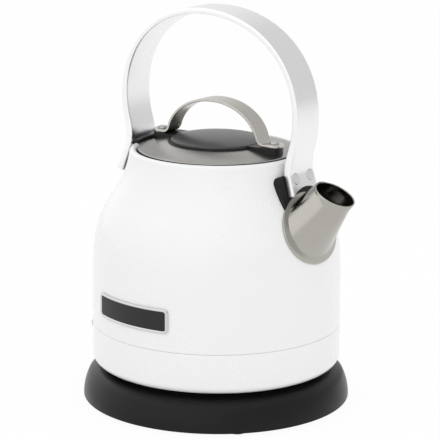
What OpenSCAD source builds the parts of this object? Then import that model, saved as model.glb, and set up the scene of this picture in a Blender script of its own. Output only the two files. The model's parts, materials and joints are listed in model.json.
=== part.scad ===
// Cordless electric kettle on a round power base.
// The origin is on the table, under the middle of the base. +Z is up and +X is the spout side.
// All lengths are in millimetres and all angles in degrees.

/* [Power base] */
// Diameter of the base over its rim
base_d = 173.8; // [168:0.2:200]
// Height of the base's flat top above the table
base_h = 22; // [20:0.5:28]
// Height of the steep side of the rim
rim_h = 13.9; // [10:0.1:15]
// How far the steep side leans in from bottom to top
rim_lean = 3.2; // [1:0.1:5]
// Width of the slope from the rim to the flat top
slope_w = 10.4; // [6:0.1:14]
// Wall thickness of the base mouldings
base_wall = 2.2; // [1.6:0.1:2.6]
// Height of the rubber feet below the rim
foot_h = 2.5; // [1.5:0.1:4]
// Diameter of one rubber foot
foot_d = 12; // [8:0.5:16]
// Number of feet
foot_count = 4; // [3:1:6]
// Diameter of the well round the connector
well_d = 50; // [46:1:56]
// Depth of the well below the flat top
well_depth = 4; // [3:0.5:5]
// Diameter of the spool that spare cord is wound on
spool_d = 68; // [60:1:72]
// Width of the ring between the cord channel and the rim
ring_w = 22.9; // [20:0.1:26]
// Depth of the channel above the underside of the base
channel_depth = 10; // [8:0.5:10.5]
// Diameter of the cord that the inlet takes
cord_d = 6.8; // [5:0.1:8]

/* [Connector] */
// Diameter of the connector post
post_d = 17.6; // [14:0.1:20]
// Height of the post above the flat top of the base
post_h = 16; // [12:0.5:18]
// Outer diameter of the boss that comes down over the post
boss_d = 32; // [28:1:36]
// Diameter of the control unit under the vessel floor
control_d = 52; // [46:1:54]

/* [Body] */
// Diameter of the body
body_d = 161.2; // [154:0.2:166]
// Gap between the top of the base and the lower edge of the body
body_lift = 3.5; // [2.5:0.1:5]
// Height of the painted skirt under the seam
skirt_h = 26; // [25:0.5:32]
// Width of the seam between the skirt and the shell
seam_gap = 0.5; // [0.3:0.1:1]
// Height of the mouth's crest above the middle of the shoulder
lip_up = 29.8; // [26:0.1:36]
// Height of the middle of the shoulder above the seam
shoulder_h = 84.1; // [76:0.5:88]
// Softness of the shoulder: larger spreads it over more height
shoulder_soft = 10.2; // [8:0.1:11]
// Width of the rolled lip round the mouth
lip_w = 3.2; // [2.4:0.1:4]
// Diameter of the mouth
mouth_d = 103.2; // [101:0.2:104]
// Thickness of the sheet that the shell is drawn from
sheet = 1.2; // [0.8:0.1:1.5]
// Fillet at the lower edge of the skirt
skirt_fillet = 5; // [3:0.5:6]
// Wall thickness of the skirt
skirt_wall = 1.6; // [1.2:0.1:2]

/* [Spout] */
// Distance from the axis to the middle of the spout's mouth
spout_x = 89; // [86:0.5:94]
// Height of the middle of the spout's mouth above the middle of the shoulder
spout_up = 11.3; // [9:0.1:14]
// Slope of the spout above the horizontal
spout_slope = 51.2; // [48:0.2:54]
// Slope of the mouth's face below the horizontal
mouth_slope = 26.3; // [20:0.2:32]
// Outer diameter of the spout at its mouth
spout_d = 26.4; // [24:0.2:28]
// Growth of the spout's radius per millimetre towards the body
spout_taper = 0.023; // [0:0.001:0.04]
// Wall thickness of the spout
spout_wall = 0.9; // [0.7:0.1:1.2]
// Width of the flared foot
spout_foot_w = 55; // [50:0.5:60]
// Height of the flared foot, square to the spout
spout_foot_h = 40; // [38:0.2:44]
// Width of the crease between flare and foot
crease_w = 47; // [42:0.5:50]
// Height of the crease, square to the spout
crease_h = 35; // [32:0.5:38]
// Height of the flare's bend over the crease
flare_lift = 2.5; // [1:0.1:4]
// Where along the tube the flare starts
bend_at = 0.45; // [0.3:0.05:0.6]
// Thickness of the foot's edge
spout_foot_t = 1.1; // [0.8:0.1:1.5]
// Thickness of the seal under the foot
seal_t = 0.4; // [0.3:0.1:0.8]

/* [Filter] */
// Width of the filter
filter_w = 28; // [24:0.5:30]
// Height of the filter
filter_h = 31; // [26:0.5:32]
// Thickness of the filter's frame
filter_t = 2.4; // [2:0.1:3]
// Lean of the filter from the vertical
filter_lean = 35; // [32:1:38]
// Distance from the axis to the middle of the filter
filter_x = 66; // [63:0.5:67]
// Depth of the filter's middle below the middle of the shoulder
filter_down = 11.1; // [9:0.1:13]
// Width of one opening in the mesh
mesh_hole = 1.7; // [1.2:0.1:2]
// Distance between openings in the mesh
mesh_pitch = 2.6; // [2.4:0.1:3.2]

/* [Hoop handle] */
// Height of the hoop's middle above the middle of the shoulder
hoop_up = 59.2; // [54:0.1:64]
// Mean radius of the hoop
hoop_r = 68.4; // [66:0.1:72]
// How much the hoop is flattened at the top
hoop_flat = 5.4; // [3:0.1:7]
// How much the hoop's corners are squared
hoop_square = 1.4; // [0:0.1:2]
// How far the hoop leans back, away from the spout
hoop_lean = 1.3; // [0:0.1:2]
// Width of the band
band_w = 25; // [20:0.5:28]
// Width of the band at the ends of its feet
foot_w = 28.4; // [24:0.2:30]
// Thickness of the band at the top of the hoop
band_t = 3.8; // [3:0.1:5]
// Thickness of the band at its feet
band_foot_t = 5.2; // [4:0.1:6]
// Length of the straight front foot
front_foot = 18.4; // [16:0.2:20]
// Lean of the front foot from the vertical
front_lean = 16.8; // [14:0.1:20]
// Length of the straight rear foot
rear_foot = 25.2; // [20:0.2:27]
// Lean of the rear foot from the vertical
rear_lean = 20.4; // [18:0.1:24]
// Radius of the arch in the front foot that clears the spout
arch_r = 26; // [20:0.5:32]
// Height of the arch above the end of the front foot
arch_h = 5.6; // [4:0.1:6.5]
// Diameter of the rivets' flush heads
rivet_d = 6.8; // [5.5:0.1:7.2]
// Half the distance between the two rivets of a foot
rivet_y = 8.2; // [7:0.1:8.6]
// Width of the blocks between the feet and the shoulder
bracket_w = 38; // [34:0.5:40]
// How far below its kink the front block starts
bracket_top = 3.2; // [2:0.1:4]
// How far the front block reaches below its foot
bracket_below = 8; // [6:0.1:9]
// Thickness of the rear block's hook over the lip
hook_t = 2.4; // [1:0.1:3]
// How far the rear block reaches above the kink to form the hook
hook_up = 9; // [7:0.5:10]

/* [Lid] */
// Clearance between the lid's rim and the mouth
lid_gap = 0.6; // [0.5:0.05:1]
// Height of the lid cover's edge above the mouth's crest
lid_edge = 0.5; // [0:0.1:1]
// Height of the steel cover's turned rim
rim_edge = 0.7; // [0.5:0.1:0.9]
// Rise of the steel cover from its edge to the middle
lid_rise = 4.2; // [3:0.1:7]
// Outer diameter of the black carrier ring
carrier_d = 64; // [63:0.5:70]
// Diameter of the dome in the middle
dome_d = 60; // [54:0.5:60.5]
// Height of the carrier ring above the steel cover's inner edge
carrier_h = 0.7; // [0.4:0.1:1.2]
// Height of the dome
dome_h = 5.2; // [3:0.1:8]
// Depth of the plug below the seat
plug_depth = 8; // [6:0.5:9]
// Distance of the strap's screws from the lid's edge
strap_in = 7.5; // [7:0.1:9]
// Width of the strap
strap_w = 14; // [10:0.5:16]
// Thickness of the strap
strap_t = 1.8; // [1.4:0.1:2.4]
// Height of the strap's arch
strap_h = 26.4; // [20:0.2:30]
// Distance of the arch's outer side from the strap's screws
arch_in = 7.9; // [5:0.1:10]

/* [Switch] */
// Width of the switch housing
housing_w = 28; // [24:0.5:32]
// How far the housing stands out from the skirt
housing_out = 12.4; // [8:0.2:15]
// Height of the housing
housing_h = 23; // [21:0.5:23.5]
// Length of the paddle from its pivot to its tip
paddle_l = 19.4; // [15:0.2:22]
// Thickness of the paddle
paddle_t = 2.8; // [2:0.1:3.5]

/* [Badge] */
// Direction of the badge round the body
badge_angle = -98.3; // [-180:0.1:0]
// Height of the badge's middle above the seam
badge_z = 19.6; // [12:0.2:30]
// Width of the bright frame
badge_w = 59.6; // [40:0.2:70]
// Height of the bright frame
badge_h = 15.6; // [12:0.2:20]
// Width of the frame's border
badge_border = 1.7; // [1:0.1:3]
// How far the frame stands out
badge_t = 1.3; // [1:0.1:2]

/* [Clearances] */
// Radial clearance of a turning or sliding fit
running = 0.06; // [0.03:0.01:0.09]
// Gap between two bodies that rest on each other
seat_gap = 0.2; // [0.1:0.05:0.3]
// Gap between a moving piece and the wall beside it
side_gap = 0.4; // [0.2:0.1:0.5]
// Gap between the front bracket and the spout's foot
bracket_gap = 0.4; // [0.2:0.1:0.6]

/* [Hidden] */

$fn = 96;
eps = 0.01;
over = 1;

// heights that the pieces share
pan_z = foot_h + 0.3;
well_z = base_h - well_depth;
skirt_z = base_h + body_lift;
seam_z = skirt_z + skirt_h;
shell_z = seam_z + seam_gap;
shoulder_z = seam_z + shoulder_h;
lip_z = shoulder_z + lip_up;
floor_z = seam_z + 2.5;
floor_t = 1.2;
cover_z = skirt_z + skirt_wall;
cover_t = 2;
cover_top = cover_z + cover_t;
post_top = base_h + post_h;

// radii that the pieces share
base_r = base_d / 2;
body_r = body_d / 2;
mouth_r = mouth_d / 2;
neck_r = mouth_r + lip_w;
post_r = post_d / 2;
boss_r = boss_d / 2;
spool_r = spool_d / 2;
channel_r = base_r - ring_w;
skirt_in_r = body_r - skirt_wall;
cover_r = body_r - skirt_fillet - 0.2;

// ---- outlines ----

// points of a quadratic curve from a to c that leaves and arrives towards b
function soft(a, b, c, n = 5) =
    [for (k = [0:n]) let (t = k / n) (1 - t) * (1 - t) * a + 2 * t * (1 - t) * b + t * t * c];

// points of an elliptical arc round c, from angle a0 to a1
function arc(c, rx, rz, a0, a1, n = 8) =
    [for (k = [0:n]) let (a = a0 + (a1 - a0) * k / n) [c[0] + rx * cos(a), c[1] + rz * sin(a)]];

function reversed(list) = [for (k = [len(list) - 1:-1:0]) list[k]];

// radius of the body at height z: a straight wall that runs through an S-curve into the neck
function bell_r(z) = neck_r + (body_r - neck_r) / (1 + exp((z - shoulder_z) / shoulder_soft));

roll_h = 2.5;
roll_z = lip_z - roll_h;
bell_steps = 36;

// outer line of the body from height z0 up to the rolled lip, moved out by grow
function bell_line(z0, grow) =
    [for (k = [0:bell_steps]) let (z = z0 + (roll_z - z0) * k / bell_steps) [bell_r(z) + grow, z]];

// rolled lip from the body's outer line, over the crest and down into the mouth
function lip_line(grow) =
    let (outer = bell_r(roll_z), mid = (outer + mouth_r) / 2, half = (outer - mouth_r) / 2)
    arc([mid, roll_z], half + grow, roll_h + grow, 0, 180, 12);

// outer line of the base from the bottom of the rim to the flat top, moved in by inset
function base_line(inset) =
    let (side_n = 5,
         top = [base_r - rim_lean - inset, foot_h + rim_h - inset * 0.6],
         knee = top + [-0.6, 1.5],
         slope = top + [-2.6, 2.8],
         shelf = [base_r - slope_w, base_h - inset])
    concat(
        [for (k = [0:side_n]) let (u = k / side_n)
            [base_r - rim_lean * u * u - inset, foot_h + u * (top[1] - foot_h)]],
        soft(top, knee, slope, 4),
        soft(slope + 0.55 * (shelf - slope), shelf, shelf - [6, 0], 5));

module revolve(points) rotate_extrude() polygon(points);

module tube(r_in, r_out, z0, z1)
    translate([0, 0, z0])
        difference() {
            cylinder(r = r_out, h = z1 - z0);
            translate([0, 0, -over])
                cylinder(r = r_in, h = z1 - z0 + 2 * over);
        }

module rod(r, z0, z1) translate([0, 0, z0]) cylinder(r = r, h = z1 - z0);

// rectangle with round corners, middle at the origin
module plate_2d(w, h, r) {
    square([w - 2 * r, h], center = true);
    square([w, h - 2 * r], center = true);
    for (x = [-1, 1], y = [-1, 1])
        translate([x * (w / 2 - r), y * (h / 2 - r)])
            circle(r = r);
}

// copies turned round the axis
module around(count, first = 0)
    for (k = [0:count - 1])
        rotate([0, 0, first + 360 * k / count])
            children();

// everything inside the body's outer surface, moved out by grow
module bell_solid(grow)
    revolve(concat([[0, shell_z]], bell_line(shell_z, grow),
        [for (p = lip_line(grow)) if (p[1] > roll_z + eps && p[0] > mouth_r + 2) p],
        [[mouth_r, lip_z + grow], [0, lip_z + grow]]));

// everything inside the shell's inner surface
module bell_cavity()
    revolve(concat([[0, shell_z]], bell_line(shell_z, -sheet), [[0, roll_z]]));

// ---- power base ----

screw_r = 1.6;
screw_head_r = 3.2;
notch_w = cord_d + 1.6;
gland_z = pan_z + 5.2;
notch_top = gland_z + cord_d / 2 + 0.4;
foot_ring = base_r - 11;
screw_ring = base_r - 13;
boss_top = base_h - base_wall;
connector_flange_r = boss_r;

// slot through the rim and the channel wall that the cord lies in
module cord_notch()
    translate([-notch_w / 2, channel_r - 3, -over])
        cube([notch_w, base_r - channel_r + 6, notch_top + over]);

module base_cover()
    color([0.10, 0.10, 0.105])
    difference() {
        union() {
            revolve(concat(
                base_line(0),
                [[well_d / 2, base_h], [well_d / 2, well_z], [post_r + 2, well_z],
                 [post_r + 2, well_z - base_wall], [well_d / 2 + base_wall, well_z - base_wall],
                 [well_d / 2 + base_wall, base_h - base_wall]],
                reversed(base_line(base_wall))));
            around(foot_count, 90 / foot_count)
                translate([screw_ring, 0, 0])
                    tube(screw_r, screw_r + 1.9, pan_z + pan_t, boss_top + eps);
        }
        cord_notch();
    }

channel_top = pan_z + channel_depth;
channel_wall = 1.8;
pan_t = 2;

// ring under the rim, with the outer wall of the cord channel
module base_pan()
    color([0.14, 0.14, 0.145])
    difference() {
        revolve([
            [channel_r, pan_z], [base_r - base_wall - 0.2, pan_z], [base_r - base_wall - 0.2, pan_z + pan_t],
            [channel_r + channel_wall, pan_z + pan_t], [channel_r + channel_wall, channel_top],
            [channel_r, channel_top]]);
        cord_notch();
        around(foot_count, 90 / foot_count)
            translate([screw_ring, 0, 0]) {
                rod(screw_r, -over, base_h);
                rod(screw_head_r + 0.2, -over, pan_z + 1);
            }
    }

// flat ring that closes the channel at the top
module cord_tray()
    color([0.14, 0.14, 0.145])
    tube(spool_r - channel_wall, channel_r + channel_wall, channel_top, channel_top + channel_wall);

// drum that the spare cord is wound on
module cord_spool()
    color([0.14, 0.14, 0.145])
    difference() {
        union() {
            revolve([
                [0, pan_z], [spool_r, pan_z], [spool_r, channel_top],
                [spool_r - channel_wall, channel_top], [spool_r - channel_wall, pan_z + pan_t],
                [0, pan_z + pan_t]]);
            // lips that hold the wound cord on the drum
            around(4, 45)
                rotate([0, 0, -13])
                    rotate_extrude(angle = 26)
                        translate([spool_r - eps, pan_z])
                            square([8, 1.6]);
            // crossed ribs that carry the connector
            for (a = [0, 90])
                rotate([0, 0, a])
                    translate([-post_r - 4, -0.8, pan_z + pan_t - eps])
                        cube([2 * post_r + 8, 1.6, connector_foot_z - pan_z - pan_t + eps]);
        }
        translate([0, spool_r - gland_in, gland_z])
            rotate([-90, 0, 0])
                cylinder(r = gland_r, h = gland_in + over);
    }

// feet stand between the pan's screws
module base_feet()
    color([0.2, 0.2, 0.2])
    around(foot_count, -45)
        translate([foot_ring, 0, 0])
            revolve([[0, 0], [foot_d / 2 - 0.6, 0], [foot_d / 2, 0.6], [foot_d / 2, pan_z], [0, pan_z]]);

module base_screws()
    color([0.75, 0.75, 0.76])
    around(foot_count, 90 / foot_count)
        translate([screw_ring, 0, 0]) {
            difference() {
                rod(screw_head_r, pan_z - 0.6, pan_z + 1);
                translate([0, 0, pan_z - 0.6])
                    cube([4, 0.8, 1.4], center = true);
            }
            rod(screw_r, pan_z + 1 - eps, pan_z + 11);
        }

gland_r = cord_d / 2 + 1.1;
gland_in = 5;

module cord_gland()
    color([0.12, 0.12, 0.125])
    translate([0, spool_r, gland_z])
        rotate([-90, 0, 0])
            difference() {
                union() {
                    translate([0, 0, -gland_in])
                        cylinder(r = gland_r, h = gland_in + 4);
                    // flange, cut off level with the channel's ceiling and mouth
                    intersection() {
                        cylinder(r = gland_r + 1.4, h = 1.6);
                        translate([-gland_r - 2, gland_z - pan_z - channel_depth + 0.1, 0])
                            cube([2 * gland_r + 4, channel_depth - 0.1, 1.6]);
                    }
                }
                translate([0, 0, -gland_in - over])
                    cylinder(r = cord_d / 2, h = 12);
            }

clamp_y = spool_r - 11;

module cord_clamp()
    color([0.5, 0.5, 0.5])
    difference() {
        translate([-cord_d / 2 - 6, clamp_y - 2.5, pan_z + pan_t])
            cube([cord_d + 12, 5, cord_d + 1.5]);
        translate([0, clamp_y - 4, gland_z])
            rotate([-90, 0, 0])
                cylinder(r = cord_d / 2, h = 8);
    }

connector_foot_z = well_z - base_wall - 7;
groove_z = [post_top - 14, post_top - 7.5];
groove_h = 3;
groove_t = 0.6;
pin_hole_r = 2.2;

module connector_post()
    color([0.08, 0.08, 0.085])
    difference() {
        union() {
            rod(post_r + 2, connector_foot_z, well_z);
            rod(connector_flange_r - 2, well_z - base_wall - 2, well_z - base_wall);
            revolve(concat([[0, well_z - eps], [post_r, well_z - eps]],
                arc([post_r - 2, post_top - 2], 2, 2, 0, 90, 5), [[0, post_top]]));
        }
        for (z = groove_z)
            tube(post_r - groove_t, post_r + over, z, z + groove_h);
        rod(pin_hole_r, post_top - 9, post_top + over);
    }

module post_contacts()
    color([0.80, 0.62, 0.32]) {
        for (z = groove_z)
            tube(post_r - groove_t, post_r + 0.1, z, z + groove_h);
        tube(pin_hole_r - 0.5, pin_hole_r, post_top - 9, post_top - 1);
    }

collar_h = well_depth - 0.6;
collar_z = well_z + seat_gap;
boss_z = collar_z + collar_h + seat_gap;

// loose dust collar: it turns with the kettle and stays on the post when the kettle is lifted
module contact_collar()
    color([0.16, 0.16, 0.165])
    revolve([[post_r + running, collar_z], [boss_r + 4, collar_z],
        [boss_r + 4.6, collar_z + 1], [boss_r + 4, collar_z + collar_h],
        [post_r + running, collar_z + collar_h]]);

// ---- underside of the kettle ----

housing_x = body_r + housing_out;
housing_in = cover_r + 0.6;
housing_top = skirt_z + housing_h;
pivot_x = body_r - 0.6;
pivot_z = skirt_z + 7.5;

module housing_slot(grow)
    translate([-housing_x - over, -housing_w / 2 - grow, skirt_z - over])
        cube([housing_x - cover_r + 6, housing_w + 2 * grow, housing_h + over + grow]);

module lower_skirt()
    color([0.95, 0.95, 0.94])
    difference() {
        revolve(concat(
            [[bell_r(shell_z), seam_z]],
            arc([body_r - skirt_fillet, skirt_z + skirt_fillet], skirt_fillet, skirt_fillet, 0, -90, 8),
            [[cover_r - 2, skirt_z], [cover_r - 2, cover_z]],
            arc([body_r - skirt_fillet, skirt_z + skirt_fillet], skirt_fillet - skirt_wall,
                skirt_fillet - skirt_wall, -90, 0, 8),
            [[skirt_in_r, seam_z]]));
        housing_slot(0);
    }

stand_r = cover_r - 11;
cover_bolt_r = 55;

module bottom_cover()
    color([0.12, 0.12, 0.125])
    difference() {
        revolve([[boss_r + 1, cover_z - 1.5], [boss_r + 3, cover_z - 1.5], [boss_r + 3, cover_z],
            [stand_r - 2, cover_z], [stand_r - 2, base_h + seat_gap], [stand_r + 2, base_h + seat_gap],
            [stand_r + 2, cover_z], [cover_r, cover_z], [cover_r, cover_top], [boss_r + 1, cover_top]]);
        around(3)
            translate([cover_bolt_r, 0, 0])
                rod(screw_r, skirt_z, cover_top + over);
    }

module cover_screws()
    color([0.75, 0.75, 0.76])
    around(3)
        translate([cover_bolt_r, 0, 0]) {
            rod(screw_head_r, cover_z - 1.8, cover_z);
            rod(screw_r, cover_z - eps, cover_top + 8);
        }

floor_r = body_r - sheet - 1.2;
tube_x = 60;
tube_r = 4;

module vessel_floor()
    color([0.72, 0.72, 0.72])
    difference() {
        union() {
            revolve([[0, floor_z], [floor_r - 1.2, floor_z], [floor_r - 1.2, floor_z - 4],
                [floor_r, floor_z - 4], [floor_r, floor_z + floor_t], [0, floor_z + floor_t]]);
            // pillars that take the cover screws
            around(3)
                translate([cover_bolt_r, 0, 0])
                    rod(3.6, cover_top, floor_z + eps);
        }
        around(3)
            translate([cover_bolt_r, 0, 0])
                rod(screw_r, cover_top - over, cover_top + 8);
        translate([-tube_x, 0, 0])
            rod(tube_r, floor_z - over, floor_z + floor_t + over);
    }

module floor_seal()
    color([0.85, 0.85, 0.82])
    revolve([[floor_r, seam_z + seam_gap + 0.4], [body_r - sheet - 0.1, seam_z + seam_gap + 0.4],
        [body_r - sheet - 0.1, floor_z + 2.2], [floor_r - 0.8, floor_z + floor_t + 1.4],
        [floor_r - 0.8, floor_z + floor_t], [floor_r, floor_z + floor_t]]);

spreader_t = 2.5;
spreader_z = floor_z - spreader_t;
element_r = 31;
element_tube = 3.3;
element_z = spreader_z - element_tube;
control_z = cover_top + 2;
control_top = control_z + 13;
control_bolt = 21;
tail_angle = 20;

module heat_spreader()
    color([0.78, 0.78, 0.79])
    difference() {
        union() {
            rod(46, spreader_z, floor_z);
            around(3, 90)
                translate([control_bolt, 0, 0])
                    rod(3.5, control_top, spreader_z + eps);
        }
        around(3, 90)
            translate([control_bolt, 0, 0])
                rod(1.9, control_top - over, spreader_z - 1);
    }

// sheathed ring with its two ends turned down into the control's terminals
module heating_element()
    color([0.62, 0.60, 0.57]) {
        rotate([0, 0, tail_angle])
            rotate_extrude(angle = 360 - 2 * tail_angle)
                translate([element_r, element_z])
                    circle(r = element_tube, $fn = 32);
        for (side = [-1, 1])
            rotate([0, 0, side * tail_angle])
                translate([element_r, 0, 0]) {
                    translate([0, 0, element_z])
                        sphere(r = element_tube, $fn = 32);
                    rod(element_tube, control_top - 4, element_z);
                }
    }

socket_r = post_r + 0.8;
socket_top = post_top + 1.5;

module control_unit()
    color([0.9, 0.88, 0.82])
    difference() {
        union() {
            rod(control_d / 2, control_z, control_top);
            rod(boss_r, boss_z, control_z + eps);
            // terminal block for the element's ends
            translate([control_d / 2 - 4, -element_r * sin(tail_angle) - 5, control_top - 6])
                cube([element_r * cos(tail_angle) + 9 - control_d / 2,
                    2 * element_r * sin(tail_angle) + 10, 6]);
            for (side = [-1, 1])
                translate([side * disc_x, 0, 0])
                    rod(3, control_top - eps, disc_z);
        }
        rod(socket_r, boss_z - over, socket_top);
        around(3, 90)
            translate([control_bolt, 0, 0])
                rod(1.9, control_z - over, control_top + over);
        for (side = [-1, 1])
            rotate([0, 0, side * tail_angle])
                translate([element_r, 0, 0])
                    rod(element_tube, control_top - 4, control_top + over);
    }

// spring rings and centre pin that meet the post's contacts
module control_contacts()
    color([0.80, 0.62, 0.32]) {
        for (z = groove_z)
            tube(post_r + 0.3, socket_r, z + 0.5, z + groove_h - 0.5);
        rod(1.2, post_top - 6, socket_top);
    }

disc_x = 9;
disc_z = spreader_z - 2.6;

module cutout_discs()
    color([0.70, 0.66, 0.55])
    for (side = [-1, 1])
        translate([side * disc_x, 0, disc_z])
            revolve([[0, 0], [5, 0], [8, 0.5], [8, 1.0], [5, 0.6], [0, 0.6]]);

module control_screws()
    color([0.75, 0.75, 0.76])
    around(3, 90)
        translate([control_bolt, 0, 0]) {
            rod(3.1, control_z - 1.6, control_z);
            rod(1.9, control_z - eps, spreader_z - 1);
        }

// ---- steam switch ----

switch_top = floor_z - 8;
rocker_x = 56;
rocker_z = pivot_z + 3;
rocker_arm = 14.4;
lever_arm = 10;
cheek_in = 5.6;

module steam_tube()
    color([0.86, 0.86, 0.84])
    translate([-tube_x, 0, 0])
        difference() {
            rod(tube_r, switch_top, shoulder_z - 2);
            rod(tube_r - 0.8, switch_top - over, shoulder_z);
            // slanted top, so that water runs off and steam enters
            translate([0, 0, shoulder_z - 2])
                rotate([0, 35, 0])
                    translate([-10, -10, -2.6])
                        cube([20, 20, 20]);
        }

module steam_switch()
    color([0.25, 0.25, 0.26])
    difference() {
        translate([-tube_x - 7, -cheek_in - 2.4, cover_top])
            cube([16, 2 * cheek_in + 4.8, switch_top - cover_top]);
        translate([-tube_x - 8, -cheek_in, cover_top + 1.8])
            cube([18, 2 * cheek_in, switch_top - cover_top - 3.4]);
        translate([-tube_x, 0, 0])
            rod(tube_r - 0.8, switch_top - 4, switch_top + over);
        translate([-rocker_x, 0, rocker_z])
            rotate([90, 0, 0])
                cylinder(r = 1 + running, h = 2 * cheek_in + 6, center = true);
    }

module steam_disc()
    color([0.72, 0.70, 0.60])
    translate([-tube_x, 0, switch_top - 2.6])
        revolve([[0, 0], [3, 0.1], [cheek_in - 0.2, 0.5], [cheek_in - 0.2, 0.9], [3, 0.5], [0, 0.4]]);

// rocker: its long arm lies over the paddle's inner arm, its nose under the steam disc
module trip_lever()
    color([0.75, 0.2, 0.15])
    translate([-rocker_x, 0, rocker_z]) {
        rotate([90, 0, 0]) {
            cylinder(r = 2.2, h = 2 * cheek_in - 2 * side_gap, center = true);
            cylinder(r = 1, h = 2 * cheek_in + 4.4, center = true);
        }
        translate([-rocker_arm, -3, -0.6])
            cube([rocker_arm, 6, 1.6]);
        translate([rocker_x - tube_x - 1, -1.5, 0])
            cube([2, 3, switch_top - 2.6 - 0.9 - rocker_z]);
    }

// side outline of the switch housing
function housing_side() = concat(
    [[-housing_in, skirt_z]],
    [[-housing_x + 1, skirt_z]],
    soft([-housing_x, skirt_z + 1], [-housing_x, housing_top - 3], [-housing_x + 9, housing_top - 1.2], 8),
    [[-housing_x + housing_out - 0.5, housing_top], [-housing_in, housing_top]]);

slot_w = housing_w - 9.2;
slot_top = pivot_z + 5;

module switch_housing()
    color([0.95, 0.95, 0.94])
    difference() {
        intersection() {
            rotate([90, 0, 0])
                linear_extrude(height = housing_w, center = true)
                    polygon(housing_side());
            translate([-housing_x + 20, 0, 0])
                linear_extrude(height = seam_z)
                    plate_2d(40, housing_w, 4);
        }
        translate([-housing_x - over, -slot_w / 2, 0])
            cube([housing_x, slot_w, slot_top]);
        translate([-pivot_x, 0, pivot_z])
            rotate([90, 0, 0])
                cylinder(r = 1.5 + running, h = slot_w + 5.6, center = true);
        translate([-pivot_x - 8, 0, 0])
            rod(1.5, slot_top - over, slot_top + 3);
    }

module switch_lever()
    color([0.88, 0.90, 0.92])
    difference() {
        translate([-pivot_x, 0, pivot_z]) {
            rotate([90, 0, 0]) {
                cylinder(r = 3, h = slot_w - 2 * side_gap, center = true);
                cylinder(r = 1.5, h = slot_w + 5, center = true);
            }
            // tongue with a round tip
            translate([-paddle_l / 2, 0, -paddle_t / 2])
                linear_extrude(height = paddle_t) {
                    translate([paddle_l / 4, 0])
                        square([paddle_l / 2, slot_w - 2 * side_gap], center = true);
                    plate_2d(paddle_l, slot_w - 2 * side_gap, 5);
                }
            translate([0, -4, -1.4])
                cube([lever_arm, 8, rocker_z - pivot_z - 0.6 - 0.5 + 1.4]);
        }
        // finger groove along the tip
        translate([-pivot_x - paddle_l + 3.2, 0, pivot_z + paddle_t / 2 + 3.4])
            rotate([90, 0, 0])
                cylinder(r = 4, h = slot_w, center = true);
    }

module indicator_led()
    color([0.35, 0.6, 0.95])
    translate([-pivot_x - 8, 0, 0])
        rod(1.5, slot_top - 1, slot_top + 3);

// ---- body ----

spout_mouth = [spout_x, shoulder_z + spout_up];
spout_r = spout_d / 2;

// turns the Z axis to run out along the spout, with its mouth at the origin
module along_spout()
    translate([spout_mouth[0], 0, spout_mouth[1]])
        rotate([0, 90 - spout_slope, 0])
            children();

// drawn bell with its lip rolled over into the mouth
module body_shell()
    color([0.96, 0.96, 0.95])
    difference() {
        revolve(concat(
            bell_line(shell_z, 0), lip_line(0),
            [[mouth_r, neck_low], [mouth_r + sheet, neck_low]],
            reversed(lip_line(-sheet)), reversed(bell_line(shell_z, -sheet))));
        spout_bore();
        at_front_foot()
            rivet_shanks(front_tail);
        at_rear_foot()
            rivet_shanks(rear_tail);
    }

neck_low = lip_z - 9;
ledge_z = lip_z - 6.8;
ledge_t = 1.2;
collar_r = mouth_r - 4.7;

module mouth_ring()
    color([0.70, 0.70, 0.70])
    revolve([[collar_r, ledge_z - plug_depth + 1], [collar_r + 1.2, ledge_z - plug_depth + 1],
        [collar_r + 1.2, ledge_z - ledge_t], [mouth_r, ledge_z - ledge_t],
        [mouth_r, ledge_z], [collar_r, ledge_z]]);

// ---- spout: a tube that flares into an oval foot lying on the shoulder ----

// point at depth s behind the mouth, x below and y beside the spout's axis
function spout_point(x, y, s) = [
    spout_mouth[0] - s * cos(spout_slope) + x * sin(spout_slope),
    y,
    spout_mouth[1] - s * sin(spout_slope) - x * cos(spout_slope)];

function above_body(x, y, s, grow) =
    let (p = spout_point(x, y, s)) norm([p[0], p[1]]) - bell_r(p[2]) - grow;

// depth at which a line along the spout meets the body, moved out by grow
function meet(x, y, grow, lo = 0, hi = 60, n = 22) =
    n == 0 ? (lo + hi) / 2
    : let (mid = (lo + hi) / 2)
        above_body(x, y, mid, grow) > 0 ? meet(x, y, grow, mid, hi, n - 1)
                                        : meet(x, y, grow, lo, mid, n - 1);

face_tilt = 90 - mouth_slope - spout_slope;
spout_sides = 48;
flare_steps = 9;
foot_low = seal_t + 0.1;
foot_grow = foot_low + spout_foot_t;

function tube_at(a, s, inset) =
    let (r = spout_r - inset + spout_taper * s) spout_point(r * cos(a), r * sin(a), s);

foot_shift = 1.5;
crease_shift = 1.4;

// edge of the foot in direction a, seen along the spout, moved in by inset
function foot_edge(a, inset) = [foot_shift + (spout_foot_h / 2 - inset) * cos(a),
    (spout_foot_w / 2 - inset) * sin(a)];

// where the flare turns into the flat foot
function foot_crease(a, inset) = [crease_shift + (crease_h / 2 - inset) * cos(a),
    (crease_w / 2 - inset) * sin(a)];

function on_body(xy, grow) = spout_point(xy[0], xy[1], meet(xy[0], xy[1], grow));

// one skin of the spout in direction a, moved in by inset: mouth, tube, flare, crease
function flare_line(a, inset, grow, steps = flare_steps) =
    let (r = spout_r - inset,
         face_s = -r * cos(a) * tan(face_tilt),
         root_s = meet(r * cos(a), r * sin(a), grow),
         bend_s = bend_at * root_s)
    concat([tube_at(a, face_s, inset), tube_at(a, (face_s + bend_s) / 2, inset)],
        soft(tube_at(a, bend_s, inset), tube_at(a, root_s - flare_lift, inset),
            on_body(foot_crease(a, inset), grow), steps));

// one closed line of the sheet: down the outside, round the foot's edge, back up the inside
function spout_line(a) = concat(
    flare_line(a, 0, foot_grow),
    [on_body(foot_edge(a, 0), foot_grow), on_body(foot_edge(a, 0), foot_low)],
    reversed(flare_line(a, spout_wall, foot_low)));

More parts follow.
